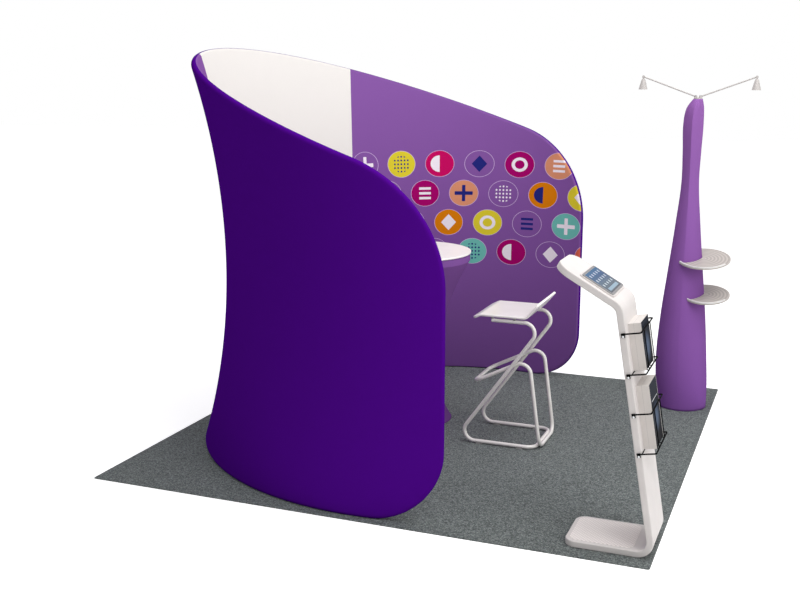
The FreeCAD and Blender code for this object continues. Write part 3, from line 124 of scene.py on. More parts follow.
def square_loop(half, corner, steps=8):
    """Points round a square of that half side, with quarter-circle corners of that radius."""
    turn = np.radians(np.linspace(0, 90, steps))
    arc = np.stack([np.cos(turn), np.sin(turn)], -1) * corner + half - corner
    quarter = np.array([[0.0, 1.0], [-1.0, 0.0]])
    return np.concatenate([arc @ np.linalg.matrix_power(quarter, k) for k in range(4)])


low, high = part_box("carpet")
carpet_half = (high[0] - low[0]) / 2
carpet_corner = 0.012
# Inset and height of each loop round the rounded edge, from the floor up.
carpet_edge = [(0.003, 0.0), (0.0012, 0.0004), (0.0, 0.0015),
               (0.0, 0.0042), (0.0009, 0.0053), (0.0025, 0.006)]
loops = []
for inset, height in carpet_edge:
    loop = square_loop(carpet_half - inset, carpet_corner - inset)
    loops.append(np.column_stack([loop, np.full(len(loop), height)]))

# Loop pile of mixed grey yarns: every loop has its own tone, the hollows between loops are painted
# dark as painted shade and the loop tops a little lighter, and broad patches of tread vary the
# whole a little. The loops, really some 4 mm wide, are drawn 6.5 mm wide so that they show.
loop_size = 0.0065
carpet_pile, tree, shader = new_material("loop pile carpet", 0.95, sheen_weight=0.1)
place = add(tree, "TexCoord").outputs["Object"]
pile = add(tree, "TexVoronoi", {"Vector": place, "Scale": 1 / loop_size, "Randomness": 0.8})
fleck = add(tree, "TexNoise", {"Vector": place, "Scale": 0.45 / loop_size,
                               "Detail": 3.0, "Roughness": 0.75})
patch = add(tree, "TexNoise", {"Vector": place, "Scale": 4.0, "Detail": 2.0})
own_tone = add(tree, "SeparateColor", [pile.outputs["Color"]])
flecks = add(tree, "Math", [fleck, 0.4], operation="MULTIPLY")
mixed = add(tree, "Math", [own_tone, 0.6, flecks], operation="MULTIPLY_ADD")
yarn = add(tree, "ValToRGB", [mixed])
yarn.color_ramp.elements[0].position = 0.15
yarn.color_ramp.elements[0].color = to_linear("#3a4344")
yarn.color_ramp.elements[1].position = 0.85
yarn.color_ramp.elements[1].color = to_linear("#98a09e")
# Painted shade: the colour darkens towards each loop's edge and lightens at its top.
painted_hollow_shade = add(tree, "MapRange", {"Value": pile, "From Min": 0.2, "From Max": 0.65,
                                "To Min": 1.12, "To Max": 0.5})
tread = add(tree, "MapRange", {"Value": patch, "To Min": 0.93, "To Max": 1.05})
shade = add(tree, "Math", [painted_hollow_shade, tread], operation="MULTIPLY")
tint = add(tree, "HueSaturation", {"Color": yarn, "Value": shade})
bump = add(tree, "Bump", {"Height": pile, "Strength": 0.8, "Distance": 0.003}, invert=True)
tree.links.new(tint.outputs["Color"], shader.inputs["Base Color"])
tree.links.new(bump.outputs["Normal"], shader.inputs["Normal"])

carpet = surface("carpet_pile", np.array(loops), carpet_pile, ring=True, caps=True, smooth=False)
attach(carpet, "booth")
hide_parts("carpet")


# The wall's cover: a stretch-knit pillowcase pulled over the tube frame, dark outside and
# printed inside. Both faces run tangent round the edge tube, and they are sewn together on
# its inner shoulder, so that the dark cloth borders the print.

wave_period = 0.314  # metres from band to band of a Wave texture whose scale is 1


def fabric(name, colour, knit=0.0032):
    """Stretch knit in flat metres: ribs along and across, with painted shade in their hollows and
    painted light on the ribs. The stitch, really under 1 mm, is drawn 3.2 mm wide so that it shows.
    Returns the material, its node tree and the node that takes the colour."""
    material, tree, shader = new_material(name, 0.88, specular_ior_level=0.0)
    flat = add(tree, "UVMap", uv_map="flat_m")
    bands = {"Vector": flat, "Scale": wave_period / knit, "Distortion": 0.6}
    rib = add(tree, "TexWave", bands)
    course = add(tree, "TexWave", bands, bands_direction="Y")
    loop = add(tree, "Math", [rib.outputs["Fac"], course.outputs["Fac"]], operation="MULTIPLY")
    # Painted shade and light: the knit's hollows are darkened and its ribs lightened.
    tone = add(tree, "MapRange", {"Value": loop, "To Min": 0.94, "To Max": 1.10})
    dyed_and_shaded = add(tree, "HueSaturation", {"Color": to_linear(colour), "Value": tone})
    bump = add(tree, "Bump", {"Height": loop, "Strength": 0.3, "Distance": 0.0005})
    tree.links.new(dyed_and_shaded.outputs["Color"], shader.inputs["Base Color"])
    tree.links.new(bump.outputs["Normal"], shader.inputs["Normal"])
    return material, tree, dyed_and_shaded


# The wall's middle surface, in metres from the booth's axis and the floor: rails bowed to
# one radius, a top that falls towards the front, and a waist that fades out to the wings.
wall_radius = 1.440
foot_level = 0.0235
top_level, top_fall = 1.789, math.tan(math.radians(19.47))
waist_depth, least_waist = 0.175, 0.03
wing_end = math.radians(109.9)
wing_front = 0.49
wall_turn = math.radians(-1.4)
# Each wing's bends: where they start, their radius, and the middle of the top one.
foot_bend_from, foot_bend = 0.15, 0.34
top_bend_from, top_bend = 0.0567, 0.65
top_bend_x, top_bend_z = -0.16, 1.15614


def wall_arc(bearing, z):
    """Reach from the booth's axis, and lean of the surface, at a bearing from the back
    of the booth and a height. In the upright plane of each bearing the wall's middle
    surface is an arc from foot rail to top rail that sinks in by the waist depth."""
    head = top_level + wall_radius * np.cos(bearing) * top_fall
    half = (head - foot_level) / 2
    fading = np.cos(np.clip(bearing / wing_end, 0, 1) * math.pi / 2)
    waist = waist_depth * (least_waist + (1 - least_waist) * fading)
    bow = (half ** 2 + waist ** 2) / (2 * waist)
    lean = np.arcsin(np.clip((z - foot_level - half) / bow, -1, 1))
    return wall_radius - waist + bow * (1 - np.cos(lean)), lean


def bearing_at(x, z):
    """Bearing at which the wall stands x in front of the booth's axis, found in a few steps."""
    bearing = np.arccos(-x / wall_radius) + 0 * z
    for step in range(14):
        bearing = np.arccos(np.clip(-x / wall_arc(bearing, z)[0], -1, 1))
    return bearing


def on_wall(bearing, z, side):
    """The wall's middle surface, its outward normal and the arc along the foot, on the
    near wing (side 1) or the far one (side -1), with the whole wall turned a little."""
    reach, lean = wall_arc(bearing, z)
    up = np.array([0, 0, 1.0])
    outward = np.stack([-np.cos(bearing) + 0 * z, -side * np.sin(bearing) + 0 * z, 0 * reach], -1)
    normal = outward * np.cos(lean)[..., None] - up * np.sin(lean)[..., None]
    point = outward * reach[..., None] + up * (z + 0 * reach)[..., None]
    cosine, sine = math.cos(wall_turn), math.sin(wall_turn)
    spin = np.array([[cosine, sine, 0], [-sine, cosine, 0], [0, 0, 1]])
    return point @ spin, normal @ spin, bearing * side * wall_radius + 0 * reach


def wall_low(x):
    """Height of the foot tube's middle at depth x: level, then a quarter bend up."""
    drop = np.sqrt(np.maximum(foot_bend ** 2 - (x - foot_bend_from) ** 2, 0))
    return np.where(x < foot_bend_from, foot_level, foot_level + foot_bend - drop)


def wall_high(x):
    """Height of the top tube's middle at depth x: a straight fall, then a bend down."""
    lift = np.sqrt(np.maximum(top_bend ** 2 - (x - top_bend_x) ** 2, 0))
    return np.where(x < top_bend_from, top_level - x * top_fall, top_bend_z + lift)


back = np.linspace(0, math.acos(-top_bend_from / wall_radius), 84)
quarter = np.linspace(0, math.pi / 2, 44)[1:]
front = top_bend_from + (wing_front - top_bend_from) * np.sin(quarter)
depths = np.concatenate([-wall_radius * np.cos(back), front])
rise = np.linspace(0, 1, 66)[:, None]
heights = wall_low(depths) + (wall_high(depths) - wall_low(depths)) * rise
bearings = np.hstack([back + 0 * rise, bearing_at(front, heights[:, len(back):])])
heights = np.hstack([heights[:, :0:-1], heights])
bearings = np.hstack([bearings[:, :0:-1], bearings])
sides = np.concatenate([-np.ones(len(depths) - 1), np.ones(len(depths))])
middle, normal, along = on_wall(bearings, heights, sides)
wall_uv = np.stack([along, heights], -1)


def rim(values):
    """The values round the wall's edge: foot, near end, top and far end, as one loop."""
    return np.concatenate([values[0], values[1:-1, -1], values[-1, ::-1], values[-2:0:-1, 0]])


edge, edge_normal, flat_edge = (rim(values) for values in (middle, normal, wall_uv))
edge_run = np.roll(edge, -1, 0) - np.roll(edge, 1, 0)
edge_run /= np.linalg.norm(edge_run, axis=1, keepdims=True)
edge_out = np.cross(edge_normal, edge_run)
edge_out /= np.linalg.norm(edge_out, axis=1, keepdims=True)
edge_out *= -np.sign(edge_out[len(depths), 2])
flat_run = np.roll(flat_edge, -1, 0) - np.roll(flat_edge, 1, 0)
flat_out = np.stack([flat_run[:, 1], -flat_run[:, 0]], -1)
flat_out /= np.linalg.norm(flat_run, axis=1, keepdims=True)
flat_out *= -np.sign(flat_out[len(depths), 1])


def round_edge(first, last, radius, steps):
    """Points round the edge tube, from first to last degrees: 0 is the wall's outer
    face, 90 the crest of the edge and 180 the inner face. Rows run round the tube."""
    turn = np.radians(np.linspace(first, last, steps))[:, None, None]
    return edge + radius * (np.cos(turn) * edge_normal + np.sin(turn) * edge_out)


def edge_uv(first, last, radius, steps):
    """Flat metres for round_edge: the wall's own edge, carried on outwards by the arc
    from the first degree."""
    wrap = np.abs(np.linspace(0, math.radians(last - first) * radius, steps))[:, None, None]
    return flat_edge + wrap * flat_out


def cased(name, face, wrap, wrap_uv, material):
    """One mesh of a wall face and its wrap round the edge tube: the wrap's first row is
    the face's own edge, so the cloth runs on smoothly."""
    index = np.arange(face[..., 0].size).reshape(face.shape[:2])
    around = np.arange(wrap[1:, :, 0].size).reshape(wrap[1:].shape[:2]) + index.size
    around = np.vstack([rim(index), around])
    around = np.hstack([around, around[:, :1]])
    wrap_uv = np.hstack([wrap_uv, wrap_uv[:, :1]]).reshape(-1, 2)
    wrap_cells = cells(np.arange(around.size).reshape(around.shape))[:, ::-1]
    points = np.concatenate([face.reshape(-1, 3), wrap[1:].reshape(-1, 3)])
    faces = np.concatenate([cells(index), cells(around)[:, ::-1]])
    uv = np.concatenate([wall_uv.reshape(-1, 2)[cells(index)], wrap_uv[wrap_cells]])
    return piece_from(name, points, faces.tolist(), material, uv)


# Stretch knit dyed in the piece: a dense dull purple with hardly any shine.
cover_dark = fabric("dark purple stretch knit", "#4e0a8a")[0]
cover_radius = 0.0189  # middle of the cloth from the middle of the edge tube
seam_at = 122          # degrees round the edge tube
outer = cased("wall_cover_outer_knit", middle + cover_radius * normal,
              round_edge(0, seam_at, cover_radius, 16),
              edge_uv(0, seam_at, cover_radius, 16), cover_dark)

# The same knit in white, printed: flat inks with crisp edges and no gloss of their own.
cover_print, tree, dyed_and_shaded = fabric("printed stretch knit", "#8a5ca7")
flat = add(tree, "UVMap", uv_map="flat_m")
along_m, up_m = (add(tree, "SeparateXYZ", [flat]).outputs[axis] for axis in "XY")

# The print's cells: rows of discs, each row pushed along by a share of the pitch.
pitch = (0.300, 0.208, 0.0)
disc_rows, first_row, row_push = 4, 0.80, 0.38
disc_radius, disc_stretch = 0.0935, 1.2
grid = add(tree, "Mapping", {"Vector": flat, "Location": (0, -first_row / pitch[1], 0),
                             "Scale": (1 / pitch[0], 1 / pitch[1], 0)})
row_share = add(tree, "SeparateXYZ", [grid]).outputs["Y"]
row = add(tree, "Math", [row_share], operation="FLOOR")
push = add(tree, "CombineXYZ", [add(tree, "Math", [row, row_push], operation="MULTIPLY")])
placed = add(tree, "VectorMath", [grid, push], operation="ADD")
cell = add(tree, "VectorMath", [placed], operation="FLOOR")
inside = add(tree, "VectorMath", [placed], operation="FRACTION")
inside = add(tree, "VectorMath", [inside, (0.5, 0.5, 0)], operation="SUBTRACT")
inside = add(tree, "VectorMath", [inside, pitch], operation="MULTIPLY")
local_x, local_y = (add(tree, "SeparateXYZ", [inside]).outputs[axis] for axis in "XY")
away = add(tree, "SeparateXYZ", [add(tree, "VectorMath", [inside], operation="ABSOLUTE")])
away = [away.outputs["X"], away.outputs["Y"]]
oval = add(tree, "VectorMath", [inside, (1 / disc_stretch, 1, 0)], operation="MULTIPLY")
from_middle = add(tree, "VectorMath", [oval], operation="LENGTH").outputs["Value"]


def counted(along, up, count):
    """A whole number from 0 to count - 1 for each cell: so many steps for each cell along
    and each row up, counted round."""
    total = add(tree, "VectorMath", [cell, (along, up, 0)], operation="DOT_PRODUCT")
    return add(tree, "Math", [total.outputs["Value"], float(count)], operation="FLOORED_MODULO")


# Six motifs, one to a disc: plus, bars, ring, diamond, half disc and a field of dots.
# Each is a bound and a shape within it.
core_radius, plus_half, block_half, bar = 0.058, 0.013, 0.046, 0.017
ring_radius, ring_half, dot_pitch, dot_radius = 0.040, 0.010, 0.013, 0.007
core = add(tree, "Math", [from_middle, core_radius], operation="LESS_THAN")
thin = add(tree, "Math", away, operation="MINIMUM")
square = add(tree, "Math", away, operation="MAXIMUM")
stripe = add(tree, "Math", [local_y, bar], operation="PINGPONG")
spread = add(tree, "Math", away, operation="ADD")
speck = add(tree, "CombineXYZ", [add(tree, "Math", [local, dot_pitch], operation="PINGPONG")
                                 for local in (local_x, local_y)])
speck = add(tree, "VectorMath", [speck], operation="LENGTH").outputs["Value"]
kinds = [(core, add(tree, "Math", [thin, plus_half], operation="LESS_THAN")),
         (add(tree, "Math", [square, block_half], operation="LESS_THAN"),
          add(tree, "Math", [stripe, bar / 2], operation="LESS_THAN")),
         (core, add(tree, "Math", [from_middle, ring_radius, ring_half], operation="COMPARE")),
         (core, add(tree, "Math", [spread, core_radius], operation="LESS_THAN")),
         (core, add(tree, "Math", [local_x, 0.0], operation="GREATER_THAN")),
         (core, add(tree, "Math", [speck, dot_radius], operation="LESS_THAN"))]
kind = counted(1, 3, len(kinds))
motif = 0.0
for number, (bound, shape) in enumerate(kinds):
    shape = add(tree, "Math", [bound, shape], operation="MULTIPLY")
    chosen = add(tree, "Math", [kind, float(number), 0.25], operation="COMPARE")
    motif = add(tree, "Math", [shape, chosen, motif], operation="MULTIPLY_ADD")

# The panels: white at the back between two slightly bowed seams, lilac on both wings, with the band
# of discs on the far one. The lilac is painted darker towards the floor, as painted shade from
# above.
panel_from, panel_to, panel_bow, bow_level = -1.035, 0.6, 0.0625, 1.1
bow = add(tree, "Math", [up_m, bow_level], operation="SUBTRACT")
bow = add(tree, "Math", [bow, bow_level], operation="DIVIDE")
bow = add(tree, "Math", [bow, bow], operation="MULTIPLY")
straight = add(tree, "Math", [along_m, panel_bow], operation="SUBTRACT")
straight = add(tree, "Math", [bow, panel_bow, straight], operation="MULTIPLY_ADD")
white_panel = add(tree, "Math", [straight, (panel_from + panel_to) / 2,
                                 (panel_to - panel_from) / 2], operation="COMPARE")
in_rows = add(tree, "Math", [row_share, disc_rows / 2, disc_rows / 2], operation="COMPARE")
far_wing = add(tree, "Math", [straight, panel_from], operation="LESS_THAN")
band = add(tree, "Math", [in_rows, far_wing], operation="MULTIPLY")
# Painted shade from above: the lilac darkens towards the floor and lightens towards the top.
painted_height_shade = add(tree, "ValToRGB", [add(tree, "Math", [up_m, 2.0], operation="DIVIDE")])
painted_height_shade.color_ramp.elements[0].color = to_linear("#7d5299")
painted_height_shade.color_ramp.elements[1].color = to_linear("#84579f")

inks = ["#6fbcb2", "#d97d10", "#a30b67", "#dccb35", "#d8906e", "#c4105f", "#dd6650"]
share = add(tree, "Math", [counted(5, 3, len(inks)), 1 / len(inks), 0.5 / len(inks)],
            operation="MULTIPLY_ADD")
ink = add(tree, "ValToRGB", [share])
stops = ink.color_ramp.elements
ink.color_ramp.interpolation = "CONSTANT"
for number, colour in enumerate(inks):
    stop = stops[0] if number == 0 else stops.new(number / len(inks))
    stop.color = to_linear(colour)
stops.remove(stops[-1])
hoop_half = 0.0015
filled = add(tree, "Math", [counted(1, 2, 3), 0.5], operation="GREATER_THAN")
disc = add(tree, "Math", [from_middle, disc_radius], operation="LESS_THAN")
disc = add(tree, "Math", [disc, filled], operation="MULTIPLY")
hoop = add(tree, "Math", [from_middle, disc_radius - hoop_half, hoop_half], operation="COMPARE")
dark_motif = add(tree, "Math", [counted(2, 1, 5), 1.5], operation="LESS_THAN")
mark = add(tree, "MixRGB", [dark_motif, to_linear("#f2e9f2"), to_linear("#262a78")])
printed = add(tree, "MixRGB", [white_panel, painted_height_shade, to_linear("#e9e5e1")])
for mask, colour in ((disc, ink), (hoop, to_linear("#cdb2dc")), (motif, mark)):
    shown = add(tree, "Math", [band, mask], operation="MULTIPLY")
    printed = add(tree, "MixRGB", [shown, printed, colour])
tree.links.new(printed.outputs["Color"], dyed_and_shaded.inputs["Color"])

inner = cased("wall_cover_inner_knit", middle - cover_radius * normal,
              round_edge(180, seam_at, cover_radius, 9),
              edge_uv(180, seam_at, cover_radius, 9), cover_print)
inner.data.flip_normals()

seam_proud, seam_radius = 0.0006, 0.0014
seam_turn = math.radians(seam_at)
seam_out = math.cos(seam_turn) * edge_normal + math.sin(seam_turn) * edge_out
seam_side = math.sin(seam_turn) * edge_normal - math.cos(seam_turn) * edge_out
spin = np.radians(np.arange(0, 360, 45))[:, None, None]
seam_ring = (edge + (cover_radius + seam_proud) * seam_out
             + seam_radius * (np.cos(spin) * seam_out + np.sin(spin) * seam_side))
seam_uv = np.broadcast_to(flat_edge, (len(spin) + 1,) + flat_edge.shape)
seam_uv = np.hstack([seam_uv, seam_uv[:, :1]])
seam = surface("wall_edge_seam", seam_ring, cover_dark, seam_uv, ring=True, tube=True)

cloth = 0.0012


def thicken(piece):
    """Gives a sheet the cloth's thickness, half to each side."""
    solid = piece.modifiers.new("cloth", "SOLIDIFY")
    solid.thickness = cloth
    solid.offset = 0.0


thicken(outer)
thicken(inner)
for piece, slot in ((outer, "cover_dark"), (inner, "cover_print"), (seam, "cover_dark")):
    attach(piece, "booth")
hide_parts("wall_cover_outer", "wall_cover_hem")
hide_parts("wall_cover_inner")
rails = ["wall_foot_rail_near", "wall_foot_rail_far", "wall_top_rail_near", "wall_top_rail_far",
         "wall_end_hoop_near", "wall_end_hoop_far"]


# The zip: a black tape with a nylon coil, sewn along the inner side of the foot hem,
# so that the cover can be drawn over the frame and closed under it.

# Woven polyester tape, near black and dull.
zip_black, tree, shader = new_material("woven zip tape", 0.8)
place = add(tree, "TexCoord").outputs["Object"]
weave = add(tree, "TexVoronoi", {"Vector": place, "Scale": 1 / 0.0012})
tone = add(tree, "MixRGB", [weave, to_linear("#221b2a"), to_linear("#0f0b13")])
tree.links.new(tone.outputs["Color"], shader.inputs["Base Color"])
# Extruded nylon coil: dark with a slight shine, and lighter patches painted along the teeth as
# painted sheen.
coil_grey, tree, shader = new_material("nylon zip coil", 0.45)
place = add(tree, "TexCoord").outputs["Object"]
# Painted sheen: noise lightens the coil in patches.
painted_sheen = add(tree, "TexNoise", {"Vector": place, "Scale": 1 / 0.04})
tone = add(tree, "MixRGB", [painted_sheen, to_linear("#241f2a"), to_linear("#332c3c")])
tree.links.new(tone.outputs["Color"], shader.inputs["Base Color"])

# Degrees to each side of the back, then degrees round the edge tube as in round_edge.
zip_end, tape_from, tape_to, coil_at = 92, 133, 154, 143.5
tape_radius, coil_radius = 0.0201, 0.0205
zip_bearings = np.linspace(-zip_end, zip_end, 240)
zip_middle, zip_normal, _ = on_wall(np.radians(np.abs(zip_bearings)),
                                    np.full(len(zip_bearings), foot_level), np.sign(zip_bearings))
zip_run = np.gradient(zip_middle, axis=0)
zip_run /= np.linalg.norm(zip_run, axis=1, keepdims=True)
zip_down = np.cross(zip_normal, zip_run)
zip_down *= -np.sign(zip_down[:1, 2:])
turn = np.radians(np.linspace(tape_from, tape_to, 7))[:, None, None]
tape_points = zip_middle + tape_radius * (np.cos(turn) * zip_normal + np.sin(turn) * zip_down)
tape = surface("zip_tape_sewn", tape_points, zip_black)
tape.data.flip_normals()

teeth_count = 1840
tooth_half, tooth_half_width, tooth_height = 0.0008, 0.0018, 0.0008
share = (np.arange(teeth_count) + 0.5) / teeth_count * (len(zip_bearings) - 1)
base = np.floor(share).astype(int)
part = (share - base)[:, None]


def slide(values):
    """values carried to each tooth's place along the zip, by straight blending."""
    return (values[base] * (1 - part) + values[base + 1] * part)[:, None]


coil_turn = math.radians(coil_at)
coil_out = math.cos(coil_turn) * zip_normal + math.sin(coil_turn) * zip_down
coil_side = math.sin(coil_turn) * zip_normal - math.cos(coil_turn) * zip_down
corner = np.array([[x, y, z] for x in (-1, 1) for y in (-1, 1) for z in (0, 1)], float)
teeth = (slide(zip_middle + coil_radius * coil_out)
         + corner[:, :1] * slide(zip_run) * tooth_half
         + corner[:, 1:2] * slide(coil_side) * tooth_half_width
         + corner[:, 2:] * slide(coil_out) * tooth_height)
box_sides = np.array([[0, 1, 3, 2], [4, 6, 7, 5], [0, 4, 5, 1],
                      [2, 3, 7, 6], [0, 2, 6, 4], [1, 5, 7, 3]])
teeth_sides = box_sides + len(corner) * np.arange(teeth_count)[:, None, None]
coil = piece_from("zip_coil", teeth.reshape(-1, 3), teeth_sides.reshape(-1, 4).tolist(),
                  coil_grey, smooth=False)
for piece in (tape, coil):
    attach(piece, "booth")
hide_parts("wall_zip")


# The wall's frame: bent aluminium tubes, spigots and sprung steel buttons inside the
# cover, and the zip's cast slider on the outside of it.

def dress(material, *nodes):
    """Gives CAD nodes their finish in place of the plain one."""
    for node in nodes:
        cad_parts[node].data.materials.clear()
        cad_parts[node].data.materials.append(material)


def plain(name, colour, roughness, grain=0.00005, size=0.001, drift=0.03, **more):
    """One colour whose tone drifts by that share over some hundred grains, with a fine
    grain: noise of that size in metres lifts the surface by grain and mottles its gloss."""
    material, tree, shader = new_material(name, roughness, **more)
    place = add(tree, "TexCoord").outputs["Object"]
    noise = add(tree, "TexNoise", {"Vector": place, "Scale": 1 / size, "Detail": 2.0})
    cloud = add(tree, "TexNoise", {"Vector": place, "Scale": 0.01 / size, "Detail": 3.0})
    tone = add(tree, "MapRange", {"Value": cloud, "From Min": 0.3, "From Max": 0.7,
                                  "To Min": 1 - drift, "To Max": 1 + drift})
    tint = add(tree, "HueSaturation", {"Color": to_linear(colour), "Value": tone})
    bump = add(tree, "Bump", {"Height": noise, "Strength": 0.35, "Distance": grain})
    mottle = add(tree, "MapRange", {"Value": noise, "To Min": roughness * 0.9,
                                    "To Max": min(roughness * 1.12, 1.0)})
    for node, socket in ((tint, "Base Color"), (bump, "Normal"), (mottle, "Roughness")):
        tree.links.new(node.outputs[0], shader.inputs[socket])
    return material


# Drawn aluminium tube, satin anodised: pale grey metal with a soft broad highlight.
tube_metal = plain("anodised aluminium tube", "#b9bcc0", 0.35, 0.00005, 0.0006, metallic=1.0)
dress(tube_metal, *rails, "wall_rib_near", "wall_rib_far", "wall_spigots")
# Turned spring steel, bright and smooth.
button_steel = plain("button steel", "#c8cacc", 0.22, metallic=1.0)
dress(button_steel, *["snap_button_%s_%s" % (rail, end) for rail in ("foot", "top")
                      for end in ("back", "near", "far")])
# Die-cast zinc, dulled by tumbling.
dress(plain("cast zip slider", "#8d9094", 0.3, 0.00008, 0.0008, metallic=1.0), "zip_slider")


# The tower's cover: a stretch-knit sleeve in four gores, drawn from the round base up
# over the moulded crown, with a welted seam down each of its four ridges.

tower_x, tower_y = 1.305, 1.043
tower_rows = np.array([
    # height in m, ridge radius in m, flatness of the gores between the ridges, drift in m
    [0.006, 0.1580, 1.00, 0.0], [0.156, 0.1642, 1.00, -0.008], [0.306, 0.1632, 0.99, -0.016],
    [0.606, 0.1434, 0.97, -0.020], [0.906, 0.1112, 0.93, -0.020], [1.206, 0.0790, 0.87, -0.020],
    [1.506, 0.0540, 0.80, -0.020], [1.682, 0.0574, 0.78, -0.020], [1.858, 0.0620, 0.78, -0.020],
    [1.910, 0.0592, 0.80, -0.018], [1.959, 0.0505, 0.85, -0.012], [2.006, 0.0290, 1.00, 0.0]])


def through(at, knots, values):
    """Values of a smooth curve through (knots, values): cubic between neighbours,
    with slopes from the neighbours on both sides."""
    slope = np.gradient(values, knots)
    i = np.clip(np.searchsorted(knots, at, "right") - 1, 0, len(knots) - 2)
    gap = knots[i + 1] - knots[i]
    s = (at - knots[i]) / gap
    return (values[i] * (2 * s ** 3 - 3 * s ** 2 + 1) + slope[i] * gap * (s ** 3 - 2 * s ** 2 + s)
            + values[i + 1] * (3 * s ** 2 - 2 * s ** 3) + slope[i + 1] * gap * (s ** 3 - s ** 2))


def gored_ring(ridge, flatness, turn):
    """Radius at each turn of a section with four ridges: each gore is the arc through
    two ridges and the point of radius ridge times flatness half way between them."""
    offset = ridge * (1 - flatness ** 2) / (math.sqrt(2) - 2 * flatness)
    swing = (turn % (math.pi / 2)) - math.pi / 4
    arc = ridge * flatness - offset
    return offset * np.cos(swing) + np.sqrt(arc ** 2 - (offset * np.sin(swing)) ** 2)


sleeve_foot, sleeve_head, hub_hole = 0.0066, 2.006, 0.010
least_flatness = 0.72  # at 0.71 a gore would be a straight line from ridge to ridge
tower_girth_radius = 0.12
level = np.concatenate([np.linspace(sleeve_foot, 1.83, 120), np.linspace(1.835, sleeve_head, 40)])
ridge, flatness, drift = (through(level, tower_rows[:, 0], tower_rows[:, k]) for k in (1, 2, 3))
flatness = np.clip(flatness, least_flatness, 1)
turn = np.radians(np.arange(0, 360, 3.0))
reach = gored_ring(ridge[:, None] - cloth / 2, flatness[:, None], turn)
sleeve = np.stack(np.broadcast_arrays(tower_x + drift[:, None] + reach * np.cos(turn),
                                      tower_y + reach * np.sin(turn), level[:, None]), -1)
cap = np.stack(np.broadcast_arrays(tower_x + hub_hole * np.cos(turn),
                                   tower_y + hub_hole * np.sin(turn), sleeve_head), -1)
sleeve = np.concatenate([sleeve, cap[None]])
girth = np.radians(np.arange(0, 363, 3.0)) * tower_girth_radius
sleeve_uv = np.stack(np.broadcast_arrays(girth, sleeve[:, :1, 2]), -1)


def graded_knit(name, foot_colour, head_colour, head):
    """Stretch knit whose colour runs evenly from the floor up to a head height."""
    material, tree, dyed_and_shaded = fabric(name, foot_colour)
    place = add(tree, "TexCoord").outputs["Object"]
    height = add(tree, "SeparateXYZ", [place]).outputs["Z"]
    dye = add(tree, "ValToRGB", [add(tree, "Math", [height, head], operation="DIVIDE")])
    dye.color_ramp.elements[0].color = to_linear(foot_colour)
    dye.color_ramp.elements[1].color = to_linear(head_colour)
    tree.links.new(dye.outputs["Color"], dyed_and_shaded.inputs["Color"])
    return material


# The same knit dyed lilac: matt, and a little deeper in tone towards the floor.
tower_fabric = graded_knit("lilac stretch knit", "#8656a4", "#9966b0", 2.0)
tower_cover = surface("tower_cover_knit", sleeve, tower_fabric, sleeve_uv, ring=True)
thicken(tower_cover)
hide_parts("tower_cover")


def welt(name, path, along, material, radius=0.0011, steps=8):
    """A thin round bead sewn along a path: rings square to the path's run. along is the
    path's own place in flat metres."""
    run = np.gradient(path, axis=0)
    run /= np.linalg.norm(run, axis=1, keepdims=True)
    aside = np.cross(run, np.where(np.abs(run[:, 2:]) > 0.9, [[1.0, 0, 0]], [[0, 0, 1.0]]))
    aside /= np.linalg.norm(aside, axis=1, keepdims=True)
    third = np.cross(run, aside)
    spin = np.radians(np.arange(0, 360, 360 / steps))[None, :, None]
    bead = path[:, None] + radius * (np.cos(spin) * aside[:, None] + np.sin(spin) * third[:, None])
    uv = np.stack(np.broadcast_arrays(np.arange(steps + 1) * 0.001, along[:, None]), -1)
    return surface(name, bead, material, uv, ring=True)


tower_seams = [welt("tower_seam_%d" % number, sleeve[:-1, number * len(turn) // 4], level,
                    tower_fabric) for number in range(4)]
for piece in [tower_cover] + tower_seams:
    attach(piece, "booth")


# The tower's works: a steel base and aluminium mast inside, a moulded crown, and two
# tilted shelves moulded in grey with turned rings and a pale lip along the front.

# Steel plate, painted: dark grey and dull, with the fine ripple that paint leaves.
base_steel = plain("painted base steel", "#3c3d40", 0.5, 0.0001, 0.0012)
dress(base_steel, "tower_base", "counter_base", "counter_spider")
dress(tube_metal, "tower_mast", "counter_post")
# Moulded ABS: an even white with a soft half gloss.
dress(plain("moulded white", "#e4e2df", 0.45, 0.00008, 0.001), "tower_crown")

# Moulded board, turned: rings of two greys that just catch the light, under a pale lip.
shelf_tilt, shelf_back, ring_width, lip_level = math.radians(14), 0.020, 0.022, 0.0084
for node, height, reach in (("tower_shelf_upper", 0.993, 0.095),
                            ("tower_shelf_lower", 0.761, 0.120)):
    shelf_grey, tree, shader = new_material("turned grey shelf " + node[-5:], 0.42)
    seat = add(tree, "Mapping", {"Vector": add(tree, "TexCoord").outputs["Object"],
                                 "Location": (tower_x + reach, tower_y - shelf_back, height),
                                 "Rotation": (shelf_tilt, 0, 0)}, vector_type="TEXTURE")
    rings = add(tree, "TexWave", {"Vector": seat, "Scale": wave_period / ring_width},
                wave_type="RINGS", rings_direction="Z").outputs["Fac"]
    above = add(tree, "SeparateXYZ", [seat]).outputs["Z"]
    lip = add(tree, "Math", [above, lip_level], operation="GREATER_THAN")
    tone = add(tree, "MixRGB", [rings, to_linear("#a8a09b"), to_linear("#c6beb8")])
    tone = add(tree, "MixRGB", [lip, tone, to_linear("#efedea")])
    bump = add(tree, "Bump", {"Height": rings, "Strength": 0.3, "Distance": 0.0004})
    tree.links.new(tone.outputs["Color"], shader.inputs["Base Color"])
    tree.links.new(bump.outputs["Normal"], shader.inputs["Normal"])
    dress(shelf_grey, node)
# Steel wire dipped in nylon: a deep dull black that hardly shines.
rack_black = plain("black coated wire", "#050506", 0.8, 0.00006, 0.0009, specular_ior_level=0.05)
dress(rack_black, "tower_shelf_brackets")


